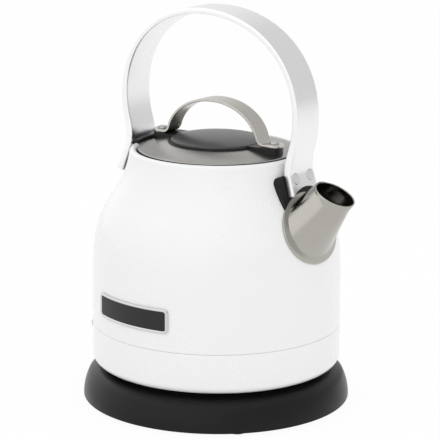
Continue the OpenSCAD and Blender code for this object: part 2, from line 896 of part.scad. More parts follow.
module spout_seal()
    color([0.15, 0.15, 0.15])
    difference() {
        intersection() {
            bell_solid(seal_t);
            foot_oval(0.8);
        }
        bell_solid(0);
        spout_bore();
    }

// oval of the spout's foot, carried along the spout, moved in by inset
module foot_oval(inset)
    along_spout()
        translate([0, 0, -60])
            linear_extrude(height = 80)
                polygon([for (k = [1:spout_sides]) foot_edge(360 * k / spout_sides, inset)]);

module spout_bore()
    along_spout()
        translate([0, 0, -60])
            cylinder(r = spout_r - spout_wall, h = 60);

// a sheet closed on itself both ways, through rings of points of the same length
module spout()
    color([0.74, 0.73, 0.70]) {
        lines = [for (j = [0:spout_sides - 1]) spout_line(360 * j / spout_sides)];
        n = len(lines);
        m = len(lines[0]);
        polyhedron([for (line = lines, p = line) p],
            [for (i = [0:n - 1], j = [0:m - 1])
                let (i2 = (i + 1) % n, j2 = (j + 1) % m)
                each [[i * m + j, i2 * m + j, i2 * m + j2], [i * m + j, i2 * m + j2, i * m + j2]]],
            convexity = 8);
    }

// ---- filter behind the spout ----

// local frame of the filter: X out towards the spout, Z up along its rails
module at_filter()
    translate([filter_x, 0, shoulder_z - filter_down])
        rotate([0, -filter_lean, 0])
            children();

module filter_plate(w, h, t)
    rotate([90, 0, 90])
        linear_extrude(height = t, center = true)
            plate_2d(w, h, 5);

module filter_clip()
    color([0.2, 0.2, 0.2])
    intersection() {
        bell_cavity();
        at_filter()
            difference() {
                translate([-filter_t / 2 - 1.2, -filter_w / 2 - 3, -filter_h / 2 - 2.4])
                    cube([14, filter_w + 6, filter_h]);
                translate([-10, -filter_w / 2 + 2.6, -filter_h / 2 + 2])
                    cube([30, filter_w - 5.2, filter_h]);
                translate([-filter_t / 2 - running, -filter_w / 2 - running, -filter_h / 2 - 0.1])
                    cube([filter_t + 2 * running, filter_w + 2 * running, filter_h]);
            }
    }

module filter_frame()
    color([0.85, 0.85, 0.83])
    at_filter() {
        difference() {
            filter_plate(filter_w, filter_h, filter_t);
            filter_plate(filter_w - 4.4, filter_h - 4.4, filter_t + 2);
        }
        // pull tab
        translate([0, 0, filter_h / 2 + 1])
            rotate([90, 0, 90])
                linear_extrude(height = filter_t - 0.6, center = true)
                    plate_2d(9, 3, 1);
    }

module filter_mesh() {
    wide = floor((filter_w - 8) / mesh_pitch / 2);
    high = floor((filter_h - 8) / mesh_pitch / 2);
    color([0.80, 0.80, 0.80])
    at_filter()
        difference() {
            filter_plate(filter_w - 4.4, filter_h - 4.4, 0.5);
            for (i = [-wide:wide], j = [-high:high])
                translate([0, i * mesh_pitch, j * mesh_pitch])
                    cube([2, mesh_hole, mesh_hole], center = true);
        }
}

// ---- hoop handle ----

hoop_c = [0.5, shoulder_z + hoop_up];

// outer radius of the hoop in direction a
function hoop_outer(a) = hoop_r - hoop_flat * sin(a) - hoop_lean * sin(2 * a) + hoop_square * sin(3 * a);

// thickness of the band in direction a, thicker towards the feet
function band_at(a) = band_t + (band_foot_t - band_t) * pow((1 - sin(a)) / 1.45, 1.6);

function hoop_mid(a) = hoop_c + (hoop_outer(a) - band_at(a) / 2) * [cos(a), sin(a)];

front_a = -28;
rear_a = 202;
kink_out = 0.6;

// outer kink of each foot, where the hoop turns out along the shoulder
front_kink = hoop_c + hoop_outer(front_a) * [cos(front_a), sin(front_a)] + [kink_out, 0];
rear_kink = hoop_c + hoop_outer(rear_a) * [cos(rear_a), sin(rear_a)];

// middle of the band at distance d down a foot from its kink, on the side 1 (front) or -1 (rear)
function foot_mid(kink, lean, side, d) =
    kink + d * [side * sin(lean), -cos(lean)] - band_foot_t / 2 * [side * cos(lean), sin(lean)];

kink_soft = 5;
front_in = [for (d = [front_foot, front_foot - 0.4, front_foot - 1, front_foot - 2,
    (front_foot + kink_soft) / 2]) foot_mid(front_kink, front_lean, 1, d)];
rear_in = [for (d = [rear_foot, rear_foot - 0.4, rear_foot - 1, rear_foot - 2,
    (rear_foot + kink_soft) / 2]) foot_mid(rear_kink, rear_lean, -1, d)];
hoop_steps = 52;

band_path = concat(front_in,
    soft(foot_mid(front_kink, front_lean, 1, kink_soft), foot_mid(front_kink, front_lean, 1, 0),
        hoop_mid(front_a + 7), 5),
    [for (k = [1:hoop_steps - 1]) hoop_mid(front_a + 7 + (rear_a - front_a - 14) * k / hoop_steps)],
    reversed(soft(foot_mid(rear_kink, rear_lean, -1, kink_soft), foot_mid(rear_kink, rear_lean, -1, 0),
        hoop_mid(rear_a - 7), 5)),
    reversed(rear_in));

// distance of a point of the path from the nearer end of the band
function from_end(p) = min(norm(p - band_path[0]), norm(p - band_path[len(band_path) - 1]));

foot_round = 2;
widening = 34;

// half width of the band: it widens towards its feet and is rounded off at the two ends
function half_width(p) =
    let (end = from_end(p), d = min(end, foot_round))
    band_w / 2 + (foot_w - band_w) / 2 * max(0, 1 - end / widening)
        - foot_round + sqrt(foot_round * foot_round - pow(foot_round - d, 2)) + 0.01;

function thickness(p) =
    p[1] > hoop_c[1] - 25 ? band_at(atan2(p[1] - hoop_c[1], p[0] - hoop_c[0])) : band_foot_t;

function flat_power(v, e) = sign(v) * pow(abs(v), e);

// crowned section of the band round path point k
function band_ring(k) =
    let (p = band_path[k], n = len(band_path),
         t = band_path[min(k + 1, n - 1)] - band_path[max(k - 1, 0)],
         normal = [t[1], -t[0]] / norm(t))
    [for (j = [0:19]) let (a = 360 * j / 20,
        u = half_width(p) * flat_power(cos(a), 0.13),
        v = thickness(p) / 2 * flat_power(sin(a), 0.3),
        q = p + v * normal)
        [q[0], u, q[1]]];

// closed skin through rings of points, each ring a list of the same length
module skin(rings) {
    m = len(rings[0]);
    n = len(rings);
    first = n * m;
    points = concat([for (ring = rings, p = ring) p], [centre(rings[0]), centre(rings[n - 1])]);
    sides = [for (i = [0:n - 2], j = [0:m - 1]) let (k = (j + 1) % m)
        each [[i * m + j, i * m + k, (i + 1) * m + k], [i * m + j, (i + 1) * m + k, (i + 1) * m + j]]];
    start = [for (j = [0:m - 1]) [first, (j + 1) % m, j]];
    end = [for (j = [0:m - 1]) [first + 1, (n - 1) * m + j, (n - 1) * m + (j + 1) % m]];
    polyhedron(points, concat(sides, start, end), convexity = 6);
}

function centre(ring, k = 0) =
    k == len(ring) ? [0, 0, 0] : ring[k] / len(ring) + centre(ring, k + 1);

module band_solid() skin([for (k = [0:len(band_path) - 1]) band_ring(k)]);

// frame of a foot: origin at its kink, X down along it, Z out from the body
module at_front_foot()
    translate([front_kink[0], 0, front_kink[1]])
        rotate([0, 90 - front_lean, 0])
            children();

module at_rear_foot()
    translate([rear_kink[0], 0, rear_kink[1]])
        mirror([1, 0, 0])
            rotate([0, 90 - rear_lean, 0])
                children();

rivet_down = 6.75;
shank_r = 1.5;
tail_r = 2.4;
tail_h = 0.8;
// distance from each foot's face to its rivets' tails, just inside the shell
front_tail = 9.35;
rear_tail = 11.1;

module rivet_shanks(length)
    for (y = [-rivet_y, rivet_y])
        translate([rivet_down, y, -length])
            cylinder(r = shank_r, h = length);

module rivet_heads(proud)
    for (y = [-rivet_y, rivet_y])
        translate([rivet_down, y, -band_foot_t / 2])
            cylinder(r = rivet_d / 2, h = band_foot_t / 2 + proud);

// flush heads, shanks through the foot, the block and the shell, and the tails set inside
module rivet_pair(tail) {
    rivet_heads(0.15);
    rivet_shanks(tail);
    for (y = [-rivet_y, rivet_y])
        translate([rivet_down, y, -tail - tail_h])
            cylinder(r = tail_r, h = tail_h + eps);
}

module handle_band()
    color([0.80, 0.80, 0.81])
    difference() {
        band_solid();
        at_front_foot() {
            rivet_heads(over);
            rivet_shanks(band_foot_t + over);
            // arch that shows the block over the spout
            translate([front_foot - arch_h + arch_r, 0, -band_foot_t - over])
                cylinder(r = arch_r, h = band_foot_t + 2 * over);
        }
        at_rear_foot() {
            rivet_heads(over);
            rivet_shanks(band_foot_t + over);
        }
    }

module handle_rivets()
    color([0.84, 0.84, 0.84]) {
        at_front_foot()
            rivet_pair(front_tail);
        at_rear_foot()
            rivet_pair(rear_tail);
    }

// block under a foot's inner face, from top to low along the foot
module bracket(top, low)
    difference() {
        translate([(low + top) / 2, 0, -40])
            linear_extrude(height = 40 - band_foot_t)
                plate_2d(low - top, bracket_w, 6);
        rivet_shanks(40);
    }

// the spout's outer skin as a closed solid, with a gap round it
module spout_room() {
    sides = 32;
    lines = [for (k = [0:sides - 1]) flare_line(360 * k / sides, -bracket_gap, foot_grow + bracket_gap, 5)];
    steps = len(lines[0]);
    skin(concat([for (i = [0:steps - 1]) [for (line = lines) line[i]]],
        [[for (k = [0:sides - 1]) on_body(foot_crease(360 * k / sides, -bracket_gap), -5)]]));
}

module front_bracket()
    color([0.11, 0.11, 0.11])
    difference() {
        at_front_foot()
            bracket(bracket_top, front_foot + bracket_below);
        bell_solid(0);
        // the spout's foot passes under the block, its flare and tube through it
        intersection() {
            bell_solid(foot_grow + bracket_gap);
            foot_oval(-bracket_gap);
        }
        spout_room();
    }

module rear_bracket()
    color([0.11, 0.11, 0.11])
    difference() {
        intersection() {
            at_rear_foot()
                bracket(-hook_up, rear_foot + 1);
            // thin over the lip, solid under the foot
            union() {
                bell_solid(hook_t);
                at_rear_foot()
                    translate([2, -bracket_w / 2, -40])
                        cube([rear_foot, bracket_w, 40]);
            }
        }
        bell_solid(0);
        rod(mouth_r + side_gap, lip_z - 20, lip_z + 20);
    }

// ---- badge, left bare ----

module badge_slab(w, h, r, t)
    difference() {
        intersection() {
            rotate([0, 0, badge_angle])
                translate([0, 0, seam_z + badge_z])
                    rotate([90, 0, 90])
                        linear_extrude(height = body_r + 10)
                            plate_2d(w, h, r);
            rod(body_r + t, seam_z, shoulder_z);
        }
        bell_solid(0);
    }

module badge_frame()
    color([0.85, 0.85, 0.86])
    difference() {
        badge_slab(badge_w, badge_h, 2.6, badge_t);
        badge_slab(badge_w - 2 * badge_border, badge_h - 2 * badge_border, 1.4, badge_t + 1);
    }

module badge_plate()
    color([0.12, 0.11, 0.11])
    badge_slab(badge_w - 2 * badge_border, badge_h - 2 * badge_border, 1.4, badge_t - 0.5);

// ---- lid ----

lid_r = mouth_r - lid_gap;
lid_z = lip_z + lid_edge;
carrier_r = carrier_d / 2;
dome_r = dome_d / 2;
lid_sheet = 1;
cover_in_r = dome_r + 1;
plug_r = collar_r - 1.4;
carrier_z = lid_z + lid_rise;
ear_top = carrier_z + 1.6;
ear_w = 18;

// height of the steel cover's upper face at radius r
function cover_face(r) =
    let (u = (lid_r - 1.2 - r) / (lid_r - 1.2 - cover_in_r)) lid_z + lid_rise * u * (1.25 - 0.25 * u);

function cover_line(drop) =
    [for (k = [0:8]) let (r = lid_r - 1.2 + (cover_in_r - lid_r + 1.2) * k / 8) [r, cover_face(r) - drop]];

module lid_cover()
    color([0.72, 0.71, 0.68])
    revolve(concat(
        [[lid_r, lid_z - rim_edge], [lid_r, lid_z - 0.4], [lid_r - 0.4, lid_z - 0.05]],
        cover_line(0), reversed(cover_line(lid_sheet)), [[lid_r - 1.2, lid_z - rim_edge]]));

module lid_plug()
    color([0.13, 0.13, 0.13])
    difference() {
        revolve(concat(
            [[0, ledge_z - plug_depth], [plug_r - 2, ledge_z - plug_depth],
             [plug_r, ledge_z - plug_depth + 2], [plug_r, ledge_z + seat_gap],
             [lid_r + 0.2, ledge_z + seat_gap], [lid_r + 0.2, lid_z - rim_edge],
             [lid_r - 1.2, lid_z - rim_edge], [lid_r - 1.2, ledge_z + seat_gap + 1.6],
             [plug_r - 1.6, ledge_z + seat_gap + 1.6],
             [plug_r - 1.6, ledge_z - plug_depth + 2], [dome_r - 14, ledge_z - plug_depth + 2],
             [dome_r - 14, carrier_z - 1.2], [0, carrier_z - 1.2]]));
        around(3, 30)
            translate([9, 0, 0]) {
                rod(screw_r, ledge_z - plug_depth - over, carrier_z + over);
                rod(screw_head_r, ledge_z - plug_depth - over, ledge_z - plug_depth + 2);
            }
    }

module lid_gasket()
    color([0.2, 0.2, 0.2])
    revolve([[plug_r, ledge_z - 5], [collar_r - 0.15, ledge_z - 4.2], [collar_r - 0.15, ledge_z - 3.4],
        [plug_r + 0.5, ledge_z - 2.8], [collar_r - 0.15, ledge_z - 2.2], [collar_r - 0.15, ledge_z - 1.4],
        [plug_r, ledge_z - 0.8]]);

// ring round the dome, with an ear under each foot of the strap
module lid_carrier()
    color([0.11, 0.11, 0.11])
    difference() {
        intersection() {
            linear_extrude(height = ear_top) {
                circle(r = carrier_r);
                square([2 * (lid_r - 3 - ear_w / 2), ear_w], center = true);
                for (side = [-1, 1])
                    translate([side * (lid_r - 2.4 - ear_w / 2), 0])
                        circle(r = ear_w / 2);
            }
            union() {
                rod(carrier_r, carrier_z - 1.2, carrier_z + carrier_h);
                translate([-lid_r, -ear_w / 2, lid_z - 1])
                    cube([2 * lid_r, ear_w, ear_top - lid_z + 1]);
            }
        }
        revolve(concat([[0, carrier_z - 1.2], [0, 0], [lid_r + 1, 0], [lid_r + 1, lid_z]],
            cover_line(0), [[cover_in_r, carrier_z - 1.2]]));
        rod(dome_r, carrier_z - eps, ear_top + over);
        around(3, 30)
            translate([9, 0, 0])
                rod(screw_r, 0, carrier_z + over);
    }

module lid_dome()
    color([0.27, 0.27, 0.27])
    difference() {
        revolve(concat([[0, carrier_z], [dome_r, carrier_z], [dome_r, carrier_z + 1.3]],
            soft([dome_r - 0.5, carrier_z + 1.9], [dome_r * 0.55, carrier_z + dome_h],
                [0, carrier_z + dome_h], 12)));
        around(3, 30)
            translate([9, 0, 0])
                rod(screw_r, carrier_z - over, carrier_z + 2.4);
    }

strap_z = ear_top;
strap_mid = strap_z + strap_t / 2;
strap_x = lid_r - strap_in;
strap_half = strap_x - arch_in;
tab_end = lid_r - 1.6;

// middle line of the strap from one end to the other
strap_arch = [for (k = [0:28]) let (a = 14 + (180 - 28) * k / 28)
    [(strap_half - strap_t / 2) * cos(a), strap_z + (strap_h - strap_t / 2) * sin(a)]];
strap_bend = soft([strap_half + 3.5, strap_mid], [strap_half - 0.6, strap_mid], strap_arch[0], 6);
strap_path = concat([[tab_end, strap_mid]], strap_bend, [for (k = [1:27]) strap_arch[k]],
    [for (p = reversed(strap_bend)) [-p[0], p[1]]], [[-tab_end, strap_mid]]);

// line beside a path, at distance d to its left
function beside(path, d) =
    [for (k = [0:len(path) - 1])
        let (t = path[min(k + 1, len(path) - 1)] - path[max(k - 1, 0)])
        path[k] + d * [-t[1], t[0]] / norm(t)];

module lid_strap()
    color([0.80, 0.79, 0.76])
    difference() {
        intersection() {
            rotate([90, 0, 0])
                linear_extrude(height = strap_w, center = true)
                    polygon(concat(beside(strap_path, strap_t / 2),
                        reversed(beside(strap_path, -strap_t / 2))));
            linear_extrude(height = strap_z + strap_h + 10) {
                square([2 * (tab_end - strap_w / 2), strap_w], center = true);
                for (side = [-1, 1])
                    translate([side * (tab_end - strap_w / 2), 0])
                        circle(r = strap_w / 2);
            }
        }
        for (side = [-1, 1])
            translate([side * strap_x, 0, 0])
                rod(1.6, strap_z - over, strap_z + strap_t + over);
    }

module strap_screws()
    color([0.82, 0.82, 0.82])
    for (side = [-1, 1])
        translate([side * strap_x, 0, strap_z + strap_t]) {
            revolve(concat([[0, 0], [3.2, 0]], arc([1.6, 0], 1.6, 1.5, 0, 90, 5), [[0, 1.5]]));
            rod(1.6, -strap_t, eps);
        }

module lid_screws()
    color([0.75, 0.75, 0.76])
    around(3, 30)
        translate([9, 0, 0]) {
            rod(screw_head_r, ledge_z - plug_depth + 0.4, ledge_z - plug_depth + 2);
            rod(screw_r, ledge_z - plug_depth + 2 - eps, carrier_z + 2.4);
        }

base_cover();
base_pan();
cord_tray();
cord_spool();
base_feet();
base_screws();
cord_gland();
cord_clamp();
connector_post();
post_contacts();
contact_collar();
lower_skirt();
bottom_cover();
cover_screws();
vessel_floor();
floor_seal();
heat_spreader();
heating_element();
control_unit();
control_contacts();
cutout_discs();
control_screws();
steam_tube();
steam_switch();
steam_disc();
trip_lever();
switch_housing();
switch_lever();
indicator_led();
body_shell();
mouth_ring();
spout();
spout_seal();
filter_clip();
filter_frame();
filter_mesh();
handle_band();
front_bracket();
rear_bracket();
handle_rivets();
badge_frame();
badge_plate();
lid_cover();
lid_plug();
lid_gasket();
lid_carrier();
lid_dome();
lid_strap();
strap_screws();
lid_screws();
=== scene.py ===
"""Looks of the hoop-handled electric kettle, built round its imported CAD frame.

All lengths inside the shape functions are millimetres, as in the part's source, and become
metres when a mesh is made. The origin is on the table under the middle of the power base,
+Z is up and +X is the spout side.
"""
import json
import math

import bmesh
import bpy
import numpy as np
from mathutils import Matrix


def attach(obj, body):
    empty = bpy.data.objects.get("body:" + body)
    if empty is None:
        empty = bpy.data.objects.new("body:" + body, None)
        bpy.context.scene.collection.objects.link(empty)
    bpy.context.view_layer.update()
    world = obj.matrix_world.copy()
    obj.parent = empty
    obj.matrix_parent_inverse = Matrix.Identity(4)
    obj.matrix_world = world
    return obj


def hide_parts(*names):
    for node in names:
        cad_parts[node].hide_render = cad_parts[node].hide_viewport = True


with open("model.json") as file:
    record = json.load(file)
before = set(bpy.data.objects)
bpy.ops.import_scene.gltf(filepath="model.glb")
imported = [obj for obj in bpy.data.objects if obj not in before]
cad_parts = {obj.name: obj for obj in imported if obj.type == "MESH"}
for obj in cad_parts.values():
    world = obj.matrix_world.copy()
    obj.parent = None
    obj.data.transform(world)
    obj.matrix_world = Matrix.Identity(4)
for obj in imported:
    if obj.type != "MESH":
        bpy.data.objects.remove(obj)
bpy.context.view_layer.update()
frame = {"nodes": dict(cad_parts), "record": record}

MM = 0.001

# ---- sizes in millimetres. Those of the solids repeat the part's source ----

# skirt and bell: heights, radii, the logistic shoulder and the walls
SKIRT_Z = 25.5
SEAM_Z = 51.5
SHELL_Z = 52.0
LIP_Z = 165.4
ROLL_H = 2.5
ROLL_Z = LIP_Z - ROLL_H
SHOULDER_Z = 135.6
SHOULDER_SOFT = 10.2
BODY_R = 80.6
NECK_R = 54.8
MOUTH_R = 51.6
SHEET = 1.2
NECK_DEEP = 9.0
SKIRT_FILLET = 5.0
SKIRT_WALL = 1.6
COVER_R = BODY_R - SKIRT_FILLET - 0.2
COVER_Z = SKIRT_Z + SKIRT_WALL
# open seam between skirt and bell, and the rounding of its two edges
SEAM_SEEN, SEAM_EASE = 0.16, 0.22

# power base: rim, shoulder, well, screw bosses and the cord's notch
BASE_R = 86.9
BASE_H = 22.0
BASE_WALL = 2.2
RIM_FOOT = 2.5
RIM_H = 13.9
RIM_LEAN = 3.2
SHELF_R = 76.5
WELL_R = 25.0
WELL_Z = 18.0
POST_R = 8.8
SCREW_R = 1.6
BOSS_R = SCREW_R + 1.9
PAN_TOP = 4.8
NOTCH_W = 8.4
NOTCH_TOP = 11.8
CHANNEL_R = 64.0
SCREW_RING = BASE_R - 13

# switch housing's slot in the skirt
HOUSING_X = BODY_R + 12.4
HOUSING_W = 28.0
HOUSING_H = 23.0

# spout: mouth point, slope of its axis, tilt of its face, radius, growth with depth, and how far
# the sheet's two skins lie off the body at the foot
SPOUT_MOUTH = (89.0, 146.9)
SPOUT_SLOPE = math.radians(51.2)
MOUTH_TILT = math.radians(90 - 26.3 - 51.2)
SPOUT_R = 13.2
SPOUT_TAPER = 0.023
SPOUT_WALL = 0.9
FOOT_LOW = 0.5
FOOT_GROW = 1.6
# ovals of the foot's rim and of the crease inside it: middle below the axis, half sizes
FOOT_X, FOOT_HALF_H, FOOT_HALF_W = 1.5, 20.0, 27.5
CREASE_X, CREASE_HALF_H, CREASE_HALF_W = 1.4, 17.5, 23.5
# flare: how far above the tube's foot its corner lies, the share of the tube's length where it
# begins, and how far it is drawn from a trumpet, 0, towards a plain cone, 1
FLARE_LIFT = 2.5
BEND_AT = 0.12
CONE = 0.88
# shares from the crease to the rim of the foot, the drop of its very edge, and how far the
# rounded edge of the mouth stands out
RIM_SHARES = (0.2, 0.4, 0.6, 0.8, 0.95, 1.0)
RIM_DROP = 0.25
EDGE_OUT = 0.3

# hoop: centre of its outer line, the band's width and thickness, and the same at the feet
HOOP_C = np.array([0.5, SEAM_Z + 143.3])
BAND_W = 25.0
BAND_T = 3.8
BAND_FOOT_T = 5.2
FOOT_W = 28.4
WIDENING = 34.0
FOOT_ROUND = 2.0
# powers that square the band's section, across it and through it
BAND_ACROSS, BAND_THROUGH = 0.13, 0.3

# lid: steel cover, black carrier, dome and strap
LID_R = 51.0
LID_Z = LIP_Z + 0.5
LID_RISE = 4.2
DOME_R = 30.0
DOME_H = 5.2
COVER_IN_R = DOME_R + 1
CARRIER_Z = LID_Z + LID_RISE
RIM_EDGE = 0.7
LID_SHEET = 1.0
STRAP_X, STRAP_W, STRAP_T = 43.5, 14.0, 1.8
STRAP_H, STRAP_HALF = 26.4, 35.6
STRAP_Z = CARRIER_Z + 1.6
TAB_END = LID_R - 1.6
FACE_R = LID_R - 1.2
STRAP_BEND = 3.5
STRAP_FROM = 14
STRAP_ACROSS, STRAP_THROUGH = 0.1, 0.35
HEAD_R, HEAD_H, SCREW_SHANK = 3.2, 1.5, 1.6

# badge: direction and height of its middle, sizes of the frame, its corners and the field's height
BADGE_ANGLE = math.radians(-98.3)
BADGE_Z = SEAM_Z + 19.6
BADGE_W, BADGE_H = 59.6, 15.6
BADGE_BORDER, BADGE_T = 1.7, 1.3
BADGE_ROUND, FIELD_UP = 2.6, 0.8

# camera: degrees round, up and about its line of sight, metres away and up, and its lens in the
# picture's own pixels
CAMERA_TURN, CAMERA_RISE, CAMERA_ROLL = 34.94, 13.86, 0.35
CAMERA_AWAY, CAMERA_AIM = 1.3468, 0.11775
PICTURE_W, FOCAL_PX, AXIS_PX = 440, 2082.7, 217.04
SENSOR = 36

# room light: level that lights the object, direction of the bright side, where the reflections
# begin and end to brighten towards it, and their range
ROOM_LEVEL = 0.784
BRIGHT_SIDE = (-0.72, -0.60, 0.35)
BRIGHT_FROM, BRIGHT_TO = -0.25, 0.5
REFLECT_LOW, REFLECT_HIGH = 0.70, 1.30
# name, place in metres, width in metres and watts of each lamp, and the point they look at
LAMPS = (("key", (-1.2, -1.6, 1.7), 1.3, 6.0), ("fill", (1.9, -1.0, 1.0), 1.2, 5.0),
         ("top", (0.1, 0.2, 2.2), 1.6, 5.0))
LAMP_AIM = (0, 0, 0.12)
# radii of the floor's rings in metres, its colour, and how much of it shows as plain white
FLOOR_RINGS = (0.15, 0.3, 0.6, 1.2, 2.5, 5.0, 9.0)
FLOOR_COLOUR, FLOOR_SEEN = 0.95, 0.95


# ---- meshes from arrays ----

def new_object(name, data):
    """An object in the scene, left at the origin."""
    thing = bpy.data.objects.new(name, data)
    bpy.context.scene.collection.objects.link(thing)
    return thing


def plain_mesh(name, points, faces):
    """A mesh from an (n, 3) array in millimetres and an (m, 4) array of faces. Doubled points at
    seams and poles are merged, and faces turn outwards by the sign of the enclosed volume: the
    sum over triangles of a . (b x c)."""
    points = np.asarray(points, float).reshape(-1, 3)
    _, first, inverse = np.unique(np.round(points, 5), axis=0, return_index=True,
                                  return_inverse=True)
    points = points[first]
    faces = inverse.reshape(-1)[np.asarray(faces)]
    a, b, c, d = (points[faces[:, k]] for k in range(4))
    if (a * (np.cross(b, c) + np.cross(c, d))).sum() < 0:
        faces = faces[:, ::-1]
    rows = []
    for face in faces.tolist():
        kept = [v for k, v in enumerate(face) if v != face[k - 1]]
        if len(set(kept)) > 2:
            rows.append(kept)
    mesh = bpy.data.meshes.new(name)
    mesh.from_pydata((points * MM).tolist(), [], rows)
    mesh.validate()
    return mesh


def put_mesh(name, points, faces, body, stands_for, slot_name, smooth=32.0):
    """A finished piece from a closed grid: it rides its body, stands for CAD nodes and takes the
    finish of its slot. Edges sharper than the angle smooth stay crisp."""
    mesh = plain_mesh(name, points, faces)
    mesh.shade_smooth()
    mesh.set_sharp_from_angle(angle=math.radians(smooth))
    piece = new_object(name, mesh)
    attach(piece, body)
    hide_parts(*stands_for)
    mesh.materials.append(finishes[slot_name])
    return piece


def grid_faces(rows, cols, closed_rows, closed_cols):
    """Quads over a grid of rows x cols points, joined round either way where it is closed."""
    i = np.arange(rows if closed_rows else rows - 1)
    j = np.arange(cols if closed_cols else cols - 1)
    i, j = np.meshgrid(i, j, indexing="ij")
    i2, j2 = (i + 1) % rows, (j + 1) % cols
    return np.stack([i * cols + j, i * cols + j2, i2 * cols + j2, i2 * cols + j], -1).reshape(-1, 4)


def lathe(profile, turns=192):
    """A closed profile of (radius, height) turned round Z: point (i, j) is the profile's point j
    at angle 2 pi i / turns."""
    profile = np.asarray(profile, float)
    a = np.linspace(0, 2 * np.pi, turns, endpoint=False)[:, None]
    r, z = profile[:, 0], profile[:, 1]
    points = np.stack([np.cos(a) * r, np.sin(a) * r, np.broadcast_to(z, (turns, len(z)))], -1)
    return points, grid_faces(turns, len(profile), True, True)


def rod(radius, z0, z1, turns=64):
    """A plain round rod along its own Z, as a closed grid."""
    return lathe([[0, z0], [radius, z0], [radius, z1], [0, z1]], turns)


def placed(points, origin, x_axis, z_axis):
    """Points of a local frame put at origin, with its X and Z axes given in the XZ plane."""
    x, z = np.array([x_axis[0], 0, x_axis[1]]), np.array([z_axis[0], 0, z_axis[1]])
    return (np.array([origin[0], 0, origin[1]]) + points[..., 0:1] * x
            + points[..., 1:2] * np.array([0, 1, 0]) + points[..., 2:3] * z)


def carve(piece, cutters, smooth):
    """Cuts closed grids (points, faces) out of a piece and keeps the result as its mesh. Edges
    sharper than the angle smooth stay crisp."""
    helpers = []
    for k, (points, faces) in enumerate(cutters):
        helper = new_object(f"cutter_{k}", plain_mesh(f"cutter_{k}", points, faces))
        helpers.append(helper)
        cut = piece.modifiers.new(f"cut_{k}", "BOOLEAN")
        cut.operation, cut.solver, cut.object = "DIFFERENCE", "EXACT", helper
    bpy.context.view_layer.update()
    seen = piece.evaluated_get(bpy.context.evaluated_depsgraph_get())
    made = bpy.data.meshes.new_from_object(seen)
    piece.modifiers.clear()
    old, piece.data = piece.data, made
    bpy.data.meshes.remove(old)
    made.name = piece.name
    made.shade_smooth()
    made.set_sharp_from_angle(angle=math.radians(smooth))
    for helper in helpers:
        mesh = helper.data
        bpy.data.objects.remove(helper)
        bpy.data.meshes.remove(mesh)


def soft(a, b, c, n):
    """A quadratic curve from a to c that leaves and arrives towards b, as an (n + 1, ...) array.
    a, b and c may be arrays of points."""
    a, b, c = (np.asarray(v, float) for v in (a, b, c))
    t = np.linspace(0, 1, n + 1).reshape((-1,) + (1,) * a.ndim)
    return (1 - t) ** 2 * a + 2 * t * (1 - t) * b + t ** 2 * c


# ---- body outline ----

def bell_r(z):
    """Radius of the body at height z: a straight wall that runs through a logistic S into the
    neck."""
    return NECK_R + (BODY_R - NECK_R) / (1 + np.exp((z - SHOULDER_Z) / SHOULDER_SOFT))


# ---- spout ----

def spout_point(x, y, s):
    """Point at depth s behind the mouth along the spout's axis, x below it and y beside it."""
    cos, sin = math.cos(SPOUT_SLOPE), math.sin(SPOUT_SLOPE)
    return np.stack([SPOUT_MOUTH[0] - s * cos + x * sin, y + 0 * x,
                     SPOUT_MOUTH[1] - s * sin - x * cos], -1)


def depth_on_body(x, y, grow):
    """Depth at which the lines (x, y) along the spout meet the body moved out by grow, by
    halving an interval 30 times."""
    low, high = np.zeros_like(x), np.full_like(x, 60.0)
    for _ in range(30):
        mid = (low + high) / 2
        p = spout_point(x, y, mid)
        outside = np.hypot(p[..., 0], p[..., 1]) > bell_r(p[..., 2]) + grow
        low, high = np.where(outside, mid, low), np.where(outside, high, mid)
    return (low + high) / 2


def spout_skin(a, inset, grow):
    """Rows of points from the mouth down one skin of the sheet to the crease, for directions a.
    The tube's radius grows evenly with depth, and a quadratic curve flares it out to the oval
    crease on the body. The curve's corner lies between the tube's own foot and the middle of the
    straight line, by the share CONE."""
    r = SPOUT_R - inset
    face = -r * np.cos(a) * math.tan(MOUTH_TILT)

    def tube(s):
        reach = r + SPOUT_TAPER * s
        return spout_point(reach * np.cos(a), reach * np.sin(a), s)

    root = depth_on_body(r * np.cos(a), r * np.sin(a), grow)
    bend = BEND_AT * root
    cx = CREASE_X + (CREASE_HALF_H - inset) * np.cos(a)
    cy = (CREASE_HALF_W - inset) * np.sin(a)
    crease = spout_point(cx, cy, depth_on_body(cx, cy, grow))
    straight = np.stack([tube(face + (bend - face) * t) for t in (0, 0.25, 0.5, 0.75)])
    start = tube(bend)
    corner = (1 - CONE) * tube(root - FLARE_LIFT) + CONE * (start + crease) / 2
    return np.concatenate([straight, soft(start, corner, crease, 28)])


